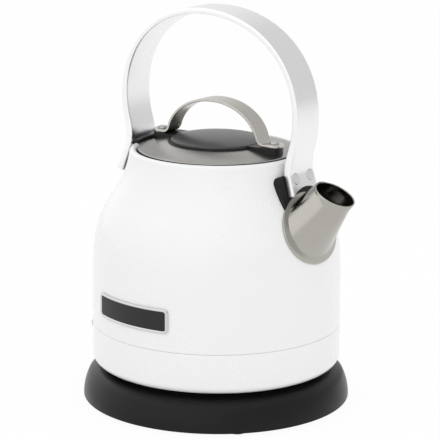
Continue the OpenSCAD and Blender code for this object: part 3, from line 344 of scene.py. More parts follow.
def make_spout():
    """Rings of points closed both ways: over the mouth's edge, down the outer skin, out over the
    foot's flat rim, whose oval grows from the crease's by even shares, under it, and up the inner
    skin."""
    a = np.linspace(0, 2 * np.pi, 160, endpoint=False)
    outer = spout_skin(a, 0.0, FOOT_GROW)
    inner = spout_skin(a, SPOUT_WALL, FOOT_LOW)
    rim = []
    for share in RIM_SHARES:
        x = ((1 - share) * (CREASE_X + CREASE_HALF_H * np.cos(a))
             + share * (FOOT_X + FOOT_HALF_H * np.cos(a)))
        y = ((1 - share) * CREASE_HALF_W + share * FOOT_HALF_W) * np.sin(a)
        drop = RIM_DROP if share == RIM_SHARES[-1] else 0
        rim.append(spout_point(x, y, depth_on_body(x, y, FOOT_GROW - drop)))
    under = spout_point(x, y, depth_on_body(x, y, FOOT_LOW))
    out = np.array([math.cos(SPOUT_SLOPE), 0, math.sin(SPOUT_SLOPE)]) * EDGE_OUT
    crest = (outer[0] + inner[0]) / 2 + out
    outer_edge = outer[0] * 0.85 + inner[0] * 0.15 + out * 0.7
    inner_edge = inner[0] * 0.85 + outer[0] * 0.15 + out * 0.7
    outer_top = outer[0] + (outer[1] - outer[0]) * 0.06
    inner_top = inner[0] + (inner[1] - inner[0]) * 0.06
    rows = np.concatenate([[crest, outer_edge, outer_top], outer[1:], rim, [under],
                           inner[::-1][:-1], [inner_top, inner_edge]])
    put_mesh("spout_formed", rows, grid_faces(len(rows), len(a), True, True),
             "kettle", ["spout"], "spout_steel", 40)


# ---- hoop handle ----

# each foot's length, its lean off upright and the direction of its kink from the hoop's centre
FRONT_FOOT, FRONT_LEAN, FRONT_A = 18.4, math.radians(16.8), math.radians(-28)
REAR_FOOT, REAR_LEAN, REAR_A = 25.2, math.radians(20.4), math.radians(202)
# softening of the kinks: a shift of the front one, and how far along foot and hoop it reaches
KINK_OUT = 0.6
KINK_SOFT = 5.0
KINK_TURN = math.radians(7)
# arched end of the front foot, and the rivets: head, place on the foot, shank and tail
ARCH_R, ARCH_H = 26.0, 5.6
RIVET_R, RIVET_Y, RIVET_DOWN = 3.4, 8.2, 6.75
SHANK_R, TAIL_R, TAIL_H = 1.5, 2.4, 0.8
HEAD_EASE, HEAD_CROWN = 0.25, 0.15
FRONT_TAIL, REAR_TAIL = 9.35, 11.1
# blocks: width of the rear one under the foot, thickness of its hook, and the front one's width,
# ends along the foot, corner radius and depth
REAR_BLOCK_W = 17.0
HOOK_T = 2.3
BLOCK_W, BLOCK_TOP, BLOCK_LOW, BLOCK_ROUND, BLOCK_DEEP = 38.0, 3.2, 26.4, 4.0, 12.0


def hoop_outer(a):
    """Outer radius of the hoop in direction a: a mean radius, flattened on top, leant back and
    slightly squared."""
    return 68.4 - 5.4 * np.sin(a) - 1.3 * np.sin(2 * a) + 1.4 * np.sin(3 * a)


def band_at(a):
    """Thickness of the band in direction a, growing towards the feet."""
    return BAND_T + (BAND_FOOT_T - BAND_T) * ((1 - np.sin(a)) / 1.45) ** 1.6


def hoop_mid(a):
    """Middle of the band in direction a: half its thickness inside the outer line."""
    a = np.asarray(a, float)
    r = hoop_outer(a) - band_at(a) / 2
    return HOOP_C + np.stack([r * np.cos(a), r * np.sin(a)], -1)


def foot_mid(kink, lean, side, d):
    """Middle of a foot at distance d below its kink: a straight line that leans outwards, half
    the foot's thickness inside the kink."""
    d = np.asarray(d, float)[..., None]
    along = np.array([side * math.sin(lean), -math.cos(lean)])
    inward = np.array([side * math.cos(lean), math.sin(lean)])
    return kink + d * along - BAND_FOOT_T / 2 * inward


def kinks():
    """Points on the hoop's outer line where the front and the rear foot begin."""
    front = HOOP_C + hoop_outer(FRONT_A) * np.array([math.cos(FRONT_A), math.sin(FRONT_A)])
    front = front + [KINK_OUT, 0]
    rear = HOOP_C + hoop_outer(REAR_A) * np.array([math.cos(REAR_A), math.sin(REAR_A)])
    return front, rear


def band_path():
    """Middle line of the band in the XZ plane, with its thickness, from the front foot's end over
    the hoop to the rear foot's end: straight feet, quadratic bends at the kinks, and the hoop's
    own line between them."""
    front, rear = kinks()

    def end(kink, lean, side, length):
        round_part = length - FOOT_ROUND * (1 - np.cos(np.linspace(0, np.pi / 2, 8)))
        straight = np.linspace(length - FOOT_ROUND, KINK_SOFT, 12)[1:-1]
        return foot_mid(kink, lean, side, np.concatenate([round_part, straight]))

    def bend(kink, lean, side, hoop_end):
        return soft(foot_mid(kink, lean, side, KINK_SOFT), foot_mid(kink, lean, side, 0.0),
                    hoop_mid(hoop_end), 12)

    start, stop = FRONT_A + KINK_TURN, REAR_A - KINK_TURN
    path = np.concatenate([
        end(front, FRONT_LEAN, 1, FRONT_FOOT), bend(front, FRONT_LEAN, 1, start),
        hoop_mid(np.linspace(start, stop, 150)[1:-1]),
        bend(rear, REAR_LEAN, -1, stop)[::-1], end(rear, REAR_LEAN, -1, REAR_FOOT)[::-1]])
    direction = np.arctan2(path[:, 1] - HOOP_C[1], path[:, 0])
    return path, np.where(path[:, 1] > HOOP_C[1] - 25, band_at(direction), BAND_FOOT_T)


def flat_section(turns, across_power, through_power):
    """Shares across and through a flat bar, once round it: the cosine and the sine, each raised
    to a power that squares it up and leaves the edges round."""
    a = np.linspace(0, 2 * np.pi, turns, endpoint=False)
    across = np.sign(np.cos(a)) * np.abs(np.cos(a)) ** across_power
    through = np.sign(np.sin(a)) * np.abs(np.sin(a)) ** through_power
    return across, through


def swept(path, thick, half, section):
    """A section carried square to a line in the XZ plane, with the thickness and half width of
    each of the line's points."""
    along = np.gradient(path, axis=0)
    normal = np.stack([along[:, 1], -along[:, 0]], -1)
    normal /= np.linalg.norm(normal, axis=1, keepdims=True)
    across, through = section
    v = thick[:, None] / 2 * through
    return np.stack([path[:, 0, None] + v * normal[:, 0, None], half[:, None] * across,
                     path[:, 1, None] + v * normal[:, 1, None]], -1)


def capped(points):
    """A grid of rings closed at both ends by a fan to the middle of its first and last ring."""
    rows, cols = points.shape[:2]
    k = np.arange(cols)
    k2 = (k + 1) % cols
    first, last = np.full(cols, rows * cols), np.full(cols, rows * cols + 1)
    end = (rows - 1) * cols
    faces = np.concatenate([grid_faces(rows, cols, False, True),
                            np.stack([first, k2, k, first], -1),
                            np.stack([last, end + k, end + k2, last], -1)])
    middles = np.stack([points[0].mean(0), points[-1].mean(0)])
    return np.concatenate([points.reshape(-1, 3), middles]), faces


def make_handle():
    """The band's section carried along its path. The half width grows towards the feet and
    follows a circle near both ends, so that the corners of the feet are round."""
    path, thick = band_path()
    from_end = np.minimum(np.linalg.norm(path - path[0], axis=1),
                          np.linalg.norm(path - path[-1], axis=1))
    d = np.minimum(from_end, FOOT_ROUND)
    half = (BAND_W / 2 + (FOOT_W - BAND_W) / 2 * np.maximum(0, 1 - from_end / WIDENING)
            - FOOT_ROUND + np.sqrt(FOOT_ROUND ** 2 - (FOOT_ROUND - d) ** 2) + 0.01)
    points = swept(path, thick, half, flat_section(48, BAND_ACROSS, BAND_THROUGH))
    handle = put_mesh("hoop_handle", *capped(points), "kettle", ["handle_band"],
                      "handle_aluminium", 50)
    front_frame, rear_frame = foot_frames()
    arch, arch_faces = rod(ARCH_R, -8, 3, 192)
    cutters = [(placed(arch + [FRONT_FOOT - ARCH_H + ARCH_R, 0, 0], *front_frame), arch_faces)]
    seat, seat_faces = rod(RIVET_R + 0.2, -BAND_FOOT_T / 2, 3)
    shank, shank_faces = rod(SHANK_R, -BAND_FOOT_T - 2, 0, 24)
    for foot in (front_frame, rear_frame):
        for y in (-RIVET_Y, RIVET_Y):
            cutters.append((placed(seat + [RIVET_DOWN, y, 0], *foot), seat_faces))
            cutters.append((placed(shank + [RIVET_DOWN, y, 0], *foot), shank_faces))
    carve(handle, cutters, 40)


# ---- turned mouldings and shells ----

def arc(centre, rx, rz, a0, a1, n):
    """Points of an elliptical arc round centre, between two angles in degrees."""
    a = np.radians(np.linspace(a0, a1, n + 1))
    return np.stack([centre[0] + rx * np.cos(a), centre[1] + rz * np.sin(a)], -1)


def bell_line(grow, n=110):
    """The body's outline from the seam to the lip, moved out by grow."""
    z = np.linspace(SHELL_Z, ROLL_Z, n + 1)
    return np.stack([bell_r(z) + grow, z], -1)


def lip_line(grow):
    """The rolled lip: half an ellipse from the body's wall over to the mouth, moved out by grow."""
    outer = bell_r(ROLL_Z)
    mid, half = (outer + MOUTH_R) / 2, (outer - MOUTH_R) / 2
    return arc([mid, ROLL_Z], half + grow, ROLL_H + grow, 0, 180, 28)


def along_spout(points):
    """Points given with Z along the spout's axis and X below it, put in place."""
    x_axis = (math.sin(SPOUT_SLOPE), -math.cos(SPOUT_SLOPE))
    z_axis = (math.cos(SPOUT_SLOPE), math.sin(SPOUT_SLOPE))
    return placed(points, SPOUT_MOUTH, x_axis, z_axis)


def foot_frames():
    """Origin, direction down the foot and direction outwards of the front and the rear foot."""
    frames = []
    for kink, lean, side in zip(kinks(), (FRONT_LEAN, REAR_LEAN), (1, -1)):
        cos, sin = math.cos(lean), math.sin(lean)
        frames.append((kink, (side * sin, -cos), (side * cos, sin)))
    return frames


def block(low, high):
    """A box between two corners, as a closed grid: a square section carried from low to high."""
    x = np.array([low[0], high[0], high[0], low[0]])
    y = np.array([low[1], low[1], high[1], high[1]])
    mid_x, mid_y = (low[0] + high[0]) / 2, (low[1] + high[1]) / 2
    rows = [np.stack([x * k + mid_x * (1 - k), y * k + mid_y * (1 - k), np.full(4, z)], -1)
            for k, z in ((0, low[2]), (1, low[2]), (1, high[2]), (0, high[2]))]
    return np.stack(rows), grid_faces(4, 4, False, True)


def joined(*grids):
    """Several closed grids as one array of points and one of faces."""
    points, faces, start = [], [], 0
    for p, f in grids:
        p = p.reshape(-1, 3)
        points.append(p)
        faces.append(f + start)
        start += len(p)
    return np.concatenate(points), np.concatenate(faces)


def make_body():
    """The bell turned from its outline, over the rolled lip and back up its inner face, with the
    bore behind the spout and the holes of the rivets cut out."""
    neck = [[MOUTH_R, LIP_Z - NECK_DEEP], [MOUTH_R + SHEET, LIP_Z - NECK_DEEP]]
    edge = arc([BODY_R - SEAM_EASE, SEAM_Z + SEAM_SEEN + SEAM_EASE],
               SEAM_EASE, SEAM_EASE, -90, 0, 4)
    outer, inner = bell_line(0)[1:], bell_line(-SHEET)[::-1]
    section = np.concatenate([edge, outer, lip_line(0)[1:], neck, lip_line(-SHEET)[::-1],
                              inner[1:]])
    body = put_mesh("bell_enamel", *lathe(section, 256), "kettle", ["body_shell"], "body_white", 40)
    bore, bore_faces = rod(SPOUT_R - SPOUT_WALL, -60, 0)
    cutters = [(along_spout(bore), bore_faces)]
    for foot, tail in zip(foot_frames(), (FRONT_TAIL, REAR_TAIL)):
        for y in (-RIVET_Y, RIVET_Y):
            shank, shank_faces = rod(SHANK_R, -tail, 0, 24)
            cutters.append((placed(shank + [RIVET_DOWN, y, 0], *foot), shank_faces))
    carve(body, cutters, 40)


def make_skirt():
    """The skirt's turned section: a straight side, a round foot and the same line inside, with
    the slot of the switch housing cut out at the rear."""
    corner = [BODY_R - SKIRT_FILLET, SKIRT_Z + SKIRT_FILLET]
    inner_fillet = SKIRT_FILLET - SKIRT_WALL
    section = np.concatenate([
        arc([bell_r(SHELL_Z) - SEAM_EASE, SEAM_Z - SEAM_EASE], SEAM_EASE, SEAM_EASE, 90, 0, 4),
        arc(corner, SKIRT_FILLET, SKIRT_FILLET, 0, -90, 28),
        [[COVER_R - 2, SKIRT_Z], [COVER_R - 2, COVER_Z]],
        arc(corner, inner_fillet, inner_fillet, -90, 0, 12), [[BODY_R - SKIRT_WALL, SEAM_Z]]])
    skirt = put_mesh("skirt_enamel", *lathe(section, 256), "kettle", ["lower_skirt"],
                     "body_white", 40)
    carve(skirt, [block((-HOUSING_X - 1, -HOUSING_W / 2, SKIRT_Z - 1),
                        (-COVER_R + 5, HOUSING_W / 2, SKIRT_Z + HOUSING_H))], 40)


def base_line(inset):
    """The base's outer line from the bottom of the rim to the flat top: a side that leans in as
    a parabola, a soft shoulder, a long slope and a soft step on to the top."""
    u = np.linspace(0, 1, 25)
    top = np.array([BASE_R - RIM_LEAN - inset, RIM_FOOT + RIM_H - inset * 0.6])
    slope = top + [-2.6, 2.8]
    shelf = np.array([SHELF_R, BASE_H - inset])
    side = np.stack([BASE_R - RIM_LEAN * u * u - inset, RIM_FOOT + u * (top[1] - RIM_FOOT)], -1)
    return np.concatenate([side[:-1], soft(top, top + [-0.6, 1.5], slope, 14),
                           soft(slope + 0.55 * (shelf - slope), shelf, shelf - [6, 0], 14)])


def make_base():
    """The outer line, the round edge of the well, the well and its wall, and the outer line again
    a wall's thickness in, turned round Z, with four screw bosses and the cord's notch."""
    section = np.concatenate([
        base_line(0), arc([WELL_R + 0.4, BASE_H - 0.4], 0.4, 0.4, 90, 180, 4),
        [[WELL_R, WELL_Z], [POST_R + 2, WELL_Z], [POST_R + 2, WELL_Z - BASE_WALL],
         [WELL_R + BASE_WALL, WELL_Z - BASE_WALL], [WELL_R + BASE_WALL, BASE_H - BASE_WALL]],
        base_line(BASE_WALL)[::-1]])
    bosses = []
    for k in range(4):
        turn = math.radians(22.5 + 90 * k)
        points, faces = lathe([[SCREW_R, PAN_TOP], [BOSS_R, PAN_TOP],
                               [BOSS_R, BASE_H - BASE_WALL], [SCREW_R, BASE_H - BASE_WALL]], 32)
        place = [SCREW_RING * math.cos(turn), SCREW_RING * math.sin(turn), 0]
        bosses.append((points + place, faces))
    base = put_mesh("base_moulding", *joined(lathe(section, 256), *bosses), "base",
                    ["base_cover"], "base_black", 35)
    notch = block((-NOTCH_W / 2, CHANNEL_R - 3, -1), (NOTCH_W / 2, BASE_R + 3, NOTCH_TOP))
    carve(base, [notch], 35)


# ---- lid ----

def cover_face(r):
    """Height of the steel cover at radius r: it rises towards the dome on a shallow curve."""
    u = (FACE_R - r) / (FACE_R - COVER_IN_R)
    return LID_Z + LID_RISE * u * (1.25 - 0.25 * u)


def make_lid_cover():
    """A thin edge with a small round corner, the rising face and its underside, turned round Z."""
    r = np.linspace(FACE_R, COVER_IN_R, 40)
    face = np.stack([r, cover_face(r)], -1)
    rim = np.array([[LID_R - 0.1, LID_Z - RIM_EDGE], [LID_R, LID_Z - RIM_EDGE + 0.08],
                    [LID_R, LID_Z - 0.4], [LID_R - 0.06, LID_Z - 0.25],
                    [LID_R - 0.18, LID_Z - 0.12], [LID_R - 0.4, LID_Z - 0.04],
                    [LID_R - 0.8, LID_Z - 0.01]])
    section = np.concatenate([rim, face, face[::-1] - [0, LID_SHEET],
                              [[FACE_R, LID_Z - RIM_EDGE]]])
    put_mesh("lid_cover_spun", *lathe(section, 256), "lid", ["lid_cover"], "lid_steel", 30)


def make_dome():
    """A low cap: a short upright edge, a soft corner and a long shallow crown, both quadratic
    curves."""
    z = CARRIER_Z
    edge, crown = [DOME_R, z + 1.2], [DOME_R - 0.7, z + 1.95]
    section = np.concatenate([
        [[0, z], [DOME_R - 0.1, z], [DOME_R, z + 0.1], edge],
        soft(edge, [DOME_R - 0.05, z + 1.75], crown, 6)[1:],
        soft(crown, [DOME_R * 0.55, z + DOME_H], [0, z + DOME_H], 40)[1:]])
    put_mesh("lid_dome_moulded", *lathe(section, 192), "lid", ["lid_dome"], "dome_grey", 30)


def strap_path():
    """Middle line of the strap in the XZ plane: a flat tab, a soft bend, a high arch that is an
    ellipse, and the same again."""
    mid, tab_in = STRAP_Z + STRAP_T / 2, STRAP_HALF + STRAP_BEND
    a = np.radians(np.linspace(STRAP_FROM, 180 - STRAP_FROM, 97))
    arch = np.stack([(STRAP_HALF - STRAP_T / 2) * np.cos(a),
                     STRAP_Z + (STRAP_H - STRAP_T / 2) * np.sin(a)], -1)
    bend = soft([tab_in, mid], [STRAP_HALF - 0.6, mid], arch[0], 14)
    reach = 1 - np.cos(np.linspace(0, np.pi / 2, 16))
    tab = np.stack([TAB_END - (TAB_END - tab_in) * reach[:-1], np.full(15, mid)], -1)
    half = np.concatenate([tab, bend[:-1]])
    return np.concatenate([half, arch, half[::-1] * [-1, 1]])


def make_strap():
    """A flat section with eased corners carried along the strap's line. The half width follows a
    circle at both ends."""
    path = strap_path()
    w = STRAP_W / 2
    d = np.clip(TAB_END - np.abs(path[:, 0]), 0, w)
    half = np.sqrt(w ** 2 - (w - d) ** 2) + 0.02
    points = swept(path, np.full(len(path), STRAP_T), half,
                   flat_section(40, STRAP_ACROSS, STRAP_THROUGH))
    put_mesh("lid_strap_bent", *capped(points), "lid", ["lid_strap"], "strap_steel", 50)


def make_strap_screws():
    """Two low domed heads with a small upright edge, on their shanks."""
    z = STRAP_Z + STRAP_T
    section = np.concatenate([
        [[0, z - STRAP_T], [SCREW_SHANK, z - STRAP_T], [SCREW_SHANK, z + 0.01],
         [HEAD_R - 0.1, z + 0.01], [HEAD_R, z + 0.12]],
        arc([1.4, z + 0.3], HEAD_R - 1.4, HEAD_H - 0.3, 0, 90, 12), [[0, z + HEAD_H]]])
    points, faces = lathe(section, 48)
    pair = [(points + [side * STRAP_X, 0, 0], faces) for side in (-1, 1)]
    put_mesh("strap_screw_heads", *joined(*pair), "lid", ["strap_screws"], "screw_steel", 35)


# ---- blocks under the feet ----

def make_front_block():
    """A round-cornered block carried straight in from the foot's inner face to the shoulder and
    hollowed to the body. The spout's flare stands in it."""
    length = BLOCK_LOW - BLOCK_TOP
    outline = plate_outline(length, BLOCK_W, BLOCK_ROUND)
    rings = []
    for inset, down in ((0, BLOCK_DEEP), (0, 0.5), (0.15, 0.15), (0.5, 0.0)):
        ring = outline * [(length / 2 - inset) / (length / 2),
                          (BLOCK_W / 2 - inset) / (BLOCK_W / 2)]
        rings.append(np.stack([ring[:, 0] + (BLOCK_LOW + BLOCK_TOP) / 2, ring[:, 1],
                               np.full(len(ring), -BAND_FOOT_T - down)], -1))
    grid = capped(placed(np.stack(rings), *foot_frames()[0]))
    piece = put_mesh("front_block", *grid, "kettle", ["front_bracket"], "bracket_black", 35)
    body_line = bell_line(0.02)[40:]
    room = np.concatenate([[[0, SHELL_Z + 40]], body_line, [[0, ROLL_Z]]])
    carve(piece, [lathe(room)], 35)


def make_rear_block():
    """The node's own solid, with its two sides cut back under the foot, so that only the hook
    over the lip is wider than the band."""
    node = frame["nodes"]["rear_bracket"]
    work = bmesh.new()
    work.from_mesh(node.data)
    bmesh.ops.remove_doubles(work, verts=work.verts, dist=0.02 * MM)
    mesh = bpy.data.meshes.new("rear_block")
    work.to_mesh(mesh)
    work.free()
    piece = new_object("rear_block", mesh)
    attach(piece, "kettle")
    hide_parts("rear_bracket")
    mesh.materials.append(finishes["bracket_black"])
    cutters = []
    for side in (-1, 1):
        low, high = sorted((side * REAR_BLOCK_W / 2, side * 30.0))
        points, faces = block((1.5, low, -40), (60, high, 10))
        cutters.append((placed(points, *foot_frames()[1]), faces))
    cutters.append(block((-90, -30, LIP_Z + HOOK_T), (-40, 30, LIP_Z + 20)))
    carve(piece, cutters, 35)


# ---- rivets and badge ----

def make_rivets():
    """Flush heads with eased edges, shanks through foot and shell, and tails set inside."""
    grids = []
    for foot, tail in zip(foot_frames(), (FRONT_TAIL, REAR_TAIL)):
        low = -tail - TAIL_H
        section = np.concatenate([
            [[0, low], [TAIL_R - 0.2, low], [TAIL_R, low + 0.2], [TAIL_R, -tail],
             [SHANK_R, -tail], [SHANK_R, -BAND_FOOT_T / 2], [RIVET_R, -BAND_FOOT_T / 2],
             [RIVET_R, 0.0]],
            arc([RIVET_R - HEAD_EASE, 0], HEAD_EASE, HEAD_CROWN, 0, 90, 4)[1:],
            [[0, HEAD_CROWN]]])
        points, faces = lathe(section, 64)
        grids += [(placed(points + [RIVET_DOWN, y, 0], *foot), faces)
                  for y in (-RIVET_Y, RIVET_Y)]
    put_mesh("handle_rivets_set", *joined(*grids), "kettle", ["handle_rivets"],
             "rivet_aluminium", 35)


def plate_outline(w, h, r, n=12):
    """Rectangle with round corners, w wide and h high, run once round: n + 1 points on each
    quarter circle, and 13 more on the straight that follows it."""
    a = np.linspace(0, np.pi / 2, n + 1)
    quarter = np.stack([np.cos(a), np.sin(a)], -1) * r
    turn = np.array([[0, 1], [-1, 0]])
    corners, spin = [], np.eye(2)
    for x, y in ((1, 1), (-1, 1), (-1, -1), (1, -1)):
        corners.append([x * (w / 2 - r), y * (h / 2 - r)] + quarter @ spin)
        spin = spin @ turn
    share = np.linspace(0, 1, 14, endpoint=False)[:, None]
    line = []
    for corner, following in zip(corners, corners[1:] + corners[:1]):
        line += [corner[:-1], corner[-1] + share * (following[0] - corner[-1])]
    return np.concatenate(line)


def on_badge(outline, radius):
    """An outline in the badge's own plane, carried straight in on to a cylinder round Z."""
    u, z = outline[:, 0], outline[:, 1]
    reach = np.sqrt(radius ** 2 - u ** 2)
    c, s = math.cos(BADGE_ANGLE), math.sin(BADGE_ANGLE)
    return np.stack([reach * c - u * s, reach * s + u * c, BADGE_Z + z], -1)


def badge_rings(steps):
    """Outlines of the badge, each inset and raised by one step, carried on to the body."""
    rings = []
    for inset, up, r in steps:
        outline = plate_outline(BADGE_W - 2 * inset, BADGE_H - 2 * inset, r)
        rings.append(on_badge(outline, BODY_R + up))
    return rings


def make_badge():
    """A bright raised frame with rounded edges round a bare black field."""
    b = BADGE_BORDER
    edge = ((0.35, 0), (0.35, 0.3), (0, 0.35), (0, 0.75), (0.12, 1.05), (0.35, 1.25),
            (0.6, BADGE_T), (1.0, BADGE_T), (1.3, 1.22), (1.55, 1.0), (b, FIELD_UP), (b, 0))
    rings = badge_rings([(d, up, BADGE_ROUND - 0.7 * d) for d, up in edge])
    points = np.stack(rings)
    put_mesh("badge_frame_bright", points, grid_faces(len(rings), points.shape[1], True, True),
             "kettle", ["badge_frame"], "badge_chrome", 40)
    plate = [(b, 0), (b, 0.65), (b + 0.15, FIELD_UP)]
    plate += [(d, FIELD_UP) for d in np.linspace(b + 0.4, BADGE_H / 2 - 0.01, 10)]
    rings = badge_rings([(d, up, max(BADGE_ROUND - 0.7 * b - 0.3 * (d - b), 0.005))
                         for d, up in plate])
    rings = [on_badge(plate_outline(BADGE_W - BADGE_H, 0.01, 0.004), BODY_R)] + rings
    points = np.stack(rings)
    put_mesh("badge_field", points, grid_faces(len(rings), points.shape[1], False, True),
             "kettle", ["badge_plate"], "badge_black", 40)


# ---- finishes ----

finishes = {}


def ranged(tree, source, low, high, to_low, to_high, kind="LINEAR"):
    """A value from one node's socket, stretched from the range low to high on to another."""
    node = tree.nodes.new("ShaderNodeMapRange")
    node.interpolation_type = kind
    for name, value in (("From Min", low), ("From Max", high), ("To Min", to_low),
                        ("To Max", to_high)):
        node.inputs[name].default_value = value
    tree.links.new(source, node.inputs["Value"])
    return node.outputs[0]


def maths(tree, operation, *values):
    """A Math node over sockets and plain numbers."""
    node = tree.nodes.new("ShaderNodeMath")
    node.operation = operation
    for socket, value in zip(node.inputs, values):
        if isinstance(value, float):
            socket.default_value = value
        else:
            tree.links.new(value, socket)
    return node.outputs[0]


def shader(name, colour, second, metal, rough, spread, grain, grain_mm, bump_mm, coat=0.0,
           cloud_mm=30, stretch=(1, 1, 1), rings=False, specular=0.5):
    """A finish of two scales. A slow cloud turns the colour between two values and lifts the
    roughness, and a fine grain, stretched along a direction or laid in rings round Z, gives the
    surface its bump and breaks up the roughness."""
    material = bpy.data.materials.new(name)
    material.use_nodes = True
    tree = material.node_tree
    tree.nodes.clear()
    new, link = tree.nodes.new, tree.links.new
    out, body = new("ShaderNodeOutputMaterial"), new("ShaderNodeBsdfPrincipled")
    link(body.outputs[0], out.inputs[0])
    body.inputs["Metallic"].default_value = metal
    body.inputs["Coat Weight"].default_value = coat
    body.inputs["Coat Roughness"].default_value = 0.12
    body.inputs["Specular IOR Level"].default_value = specular
    place = new("ShaderNodeTexCoord")
    cloud = new("ShaderNodeTexNoise")
    cloud.inputs["Scale"].default_value = 1000 / cloud_mm
    cloud.inputs["Detail"].default_value = 3
    link(place.outputs["Object"], cloud.inputs["Vector"])
    fine = new("ShaderNodeTexNoise")
    fine.inputs["Scale"].default_value = 1000 / grain_mm
    fine.inputs["Detail"].default_value = 2
    if rings:
        # the distance from Z, with a little of the place itself, so that the rings drift
        flat, reach = new("ShaderNodeVectorMath"), new("ShaderNodeVectorMath")
        flat.operation, reach.operation = "MULTIPLY", "LENGTH"
        flat.inputs[1].default_value = (1, 1, 0)
        link(place.outputs["Object"], flat.inputs[0])
        link(flat.outputs[0], reach.inputs[0])
        spun, drift = new("ShaderNodeCombineXYZ"), new("ShaderNodeVectorMath")
        link(reach.outputs["Value"], spun.inputs[0])
        drift.operation = "MULTIPLY_ADD"
        drift.inputs[1].default_value = (0.02, 0.02, 0.02)
        link(place.outputs["Object"], drift.inputs[0])
        link(spun.outputs[0], drift.inputs[2])
        link(drift.outputs[0], fine.inputs["Vector"])
    else:
        pulled = new("ShaderNodeMapping")
        pulled.inputs["Scale"].default_value = stretch
        link(place.outputs["Object"], pulled.inputs["Vector"])
        link(pulled.outputs[0], fine.inputs["Vector"])
    tint, fleck = new("ShaderNodeMix"), new("ShaderNodeMix")
    tint.data_type = fleck.data_type = "RGBA"
    tint.inputs[6].default_value = (*colour, 1)
    tint.inputs[7].default_value = (*second, 1)
    link(cloud.outputs["Fac"], tint.inputs["Factor"])
    fleck.blend_type = "MULTIPLY"
    fleck.inputs["Factor"].default_value = grain
    link(tint.outputs[2], fleck.inputs[6])
    link(ranged(tree, fine.outputs["Fac"], 0.3, 0.7, 0.75, 1.0), fleck.inputs[7])
    link(fleck.outputs[2], body.inputs["Base Color"])
    both = maths(tree, "ADD", cloud.outputs["Fac"], fine.outputs["Fac"])
    half = maths(tree, "MULTIPLY", both, 0.5)
    link(ranged(tree, half, 0.3, 0.7, rough - spread, rough + spread), body.inputs["Roughness"])
    bump = new("ShaderNodeBump")
    bump.inputs["Distance"].default_value = bump_mm * MM
    bump.inputs["Strength"].default_value = 0.6
    link(fine.outputs["Fac"], bump.inputs["Height"])
    link(bump.outputs[0], body.inputs["Normal"])
    finishes[name] = material


def gray(v, warm=0.0):
    """A grey of level v, with a little more red and less blue where it is warm."""
    return (v + warm, v, v - warm)


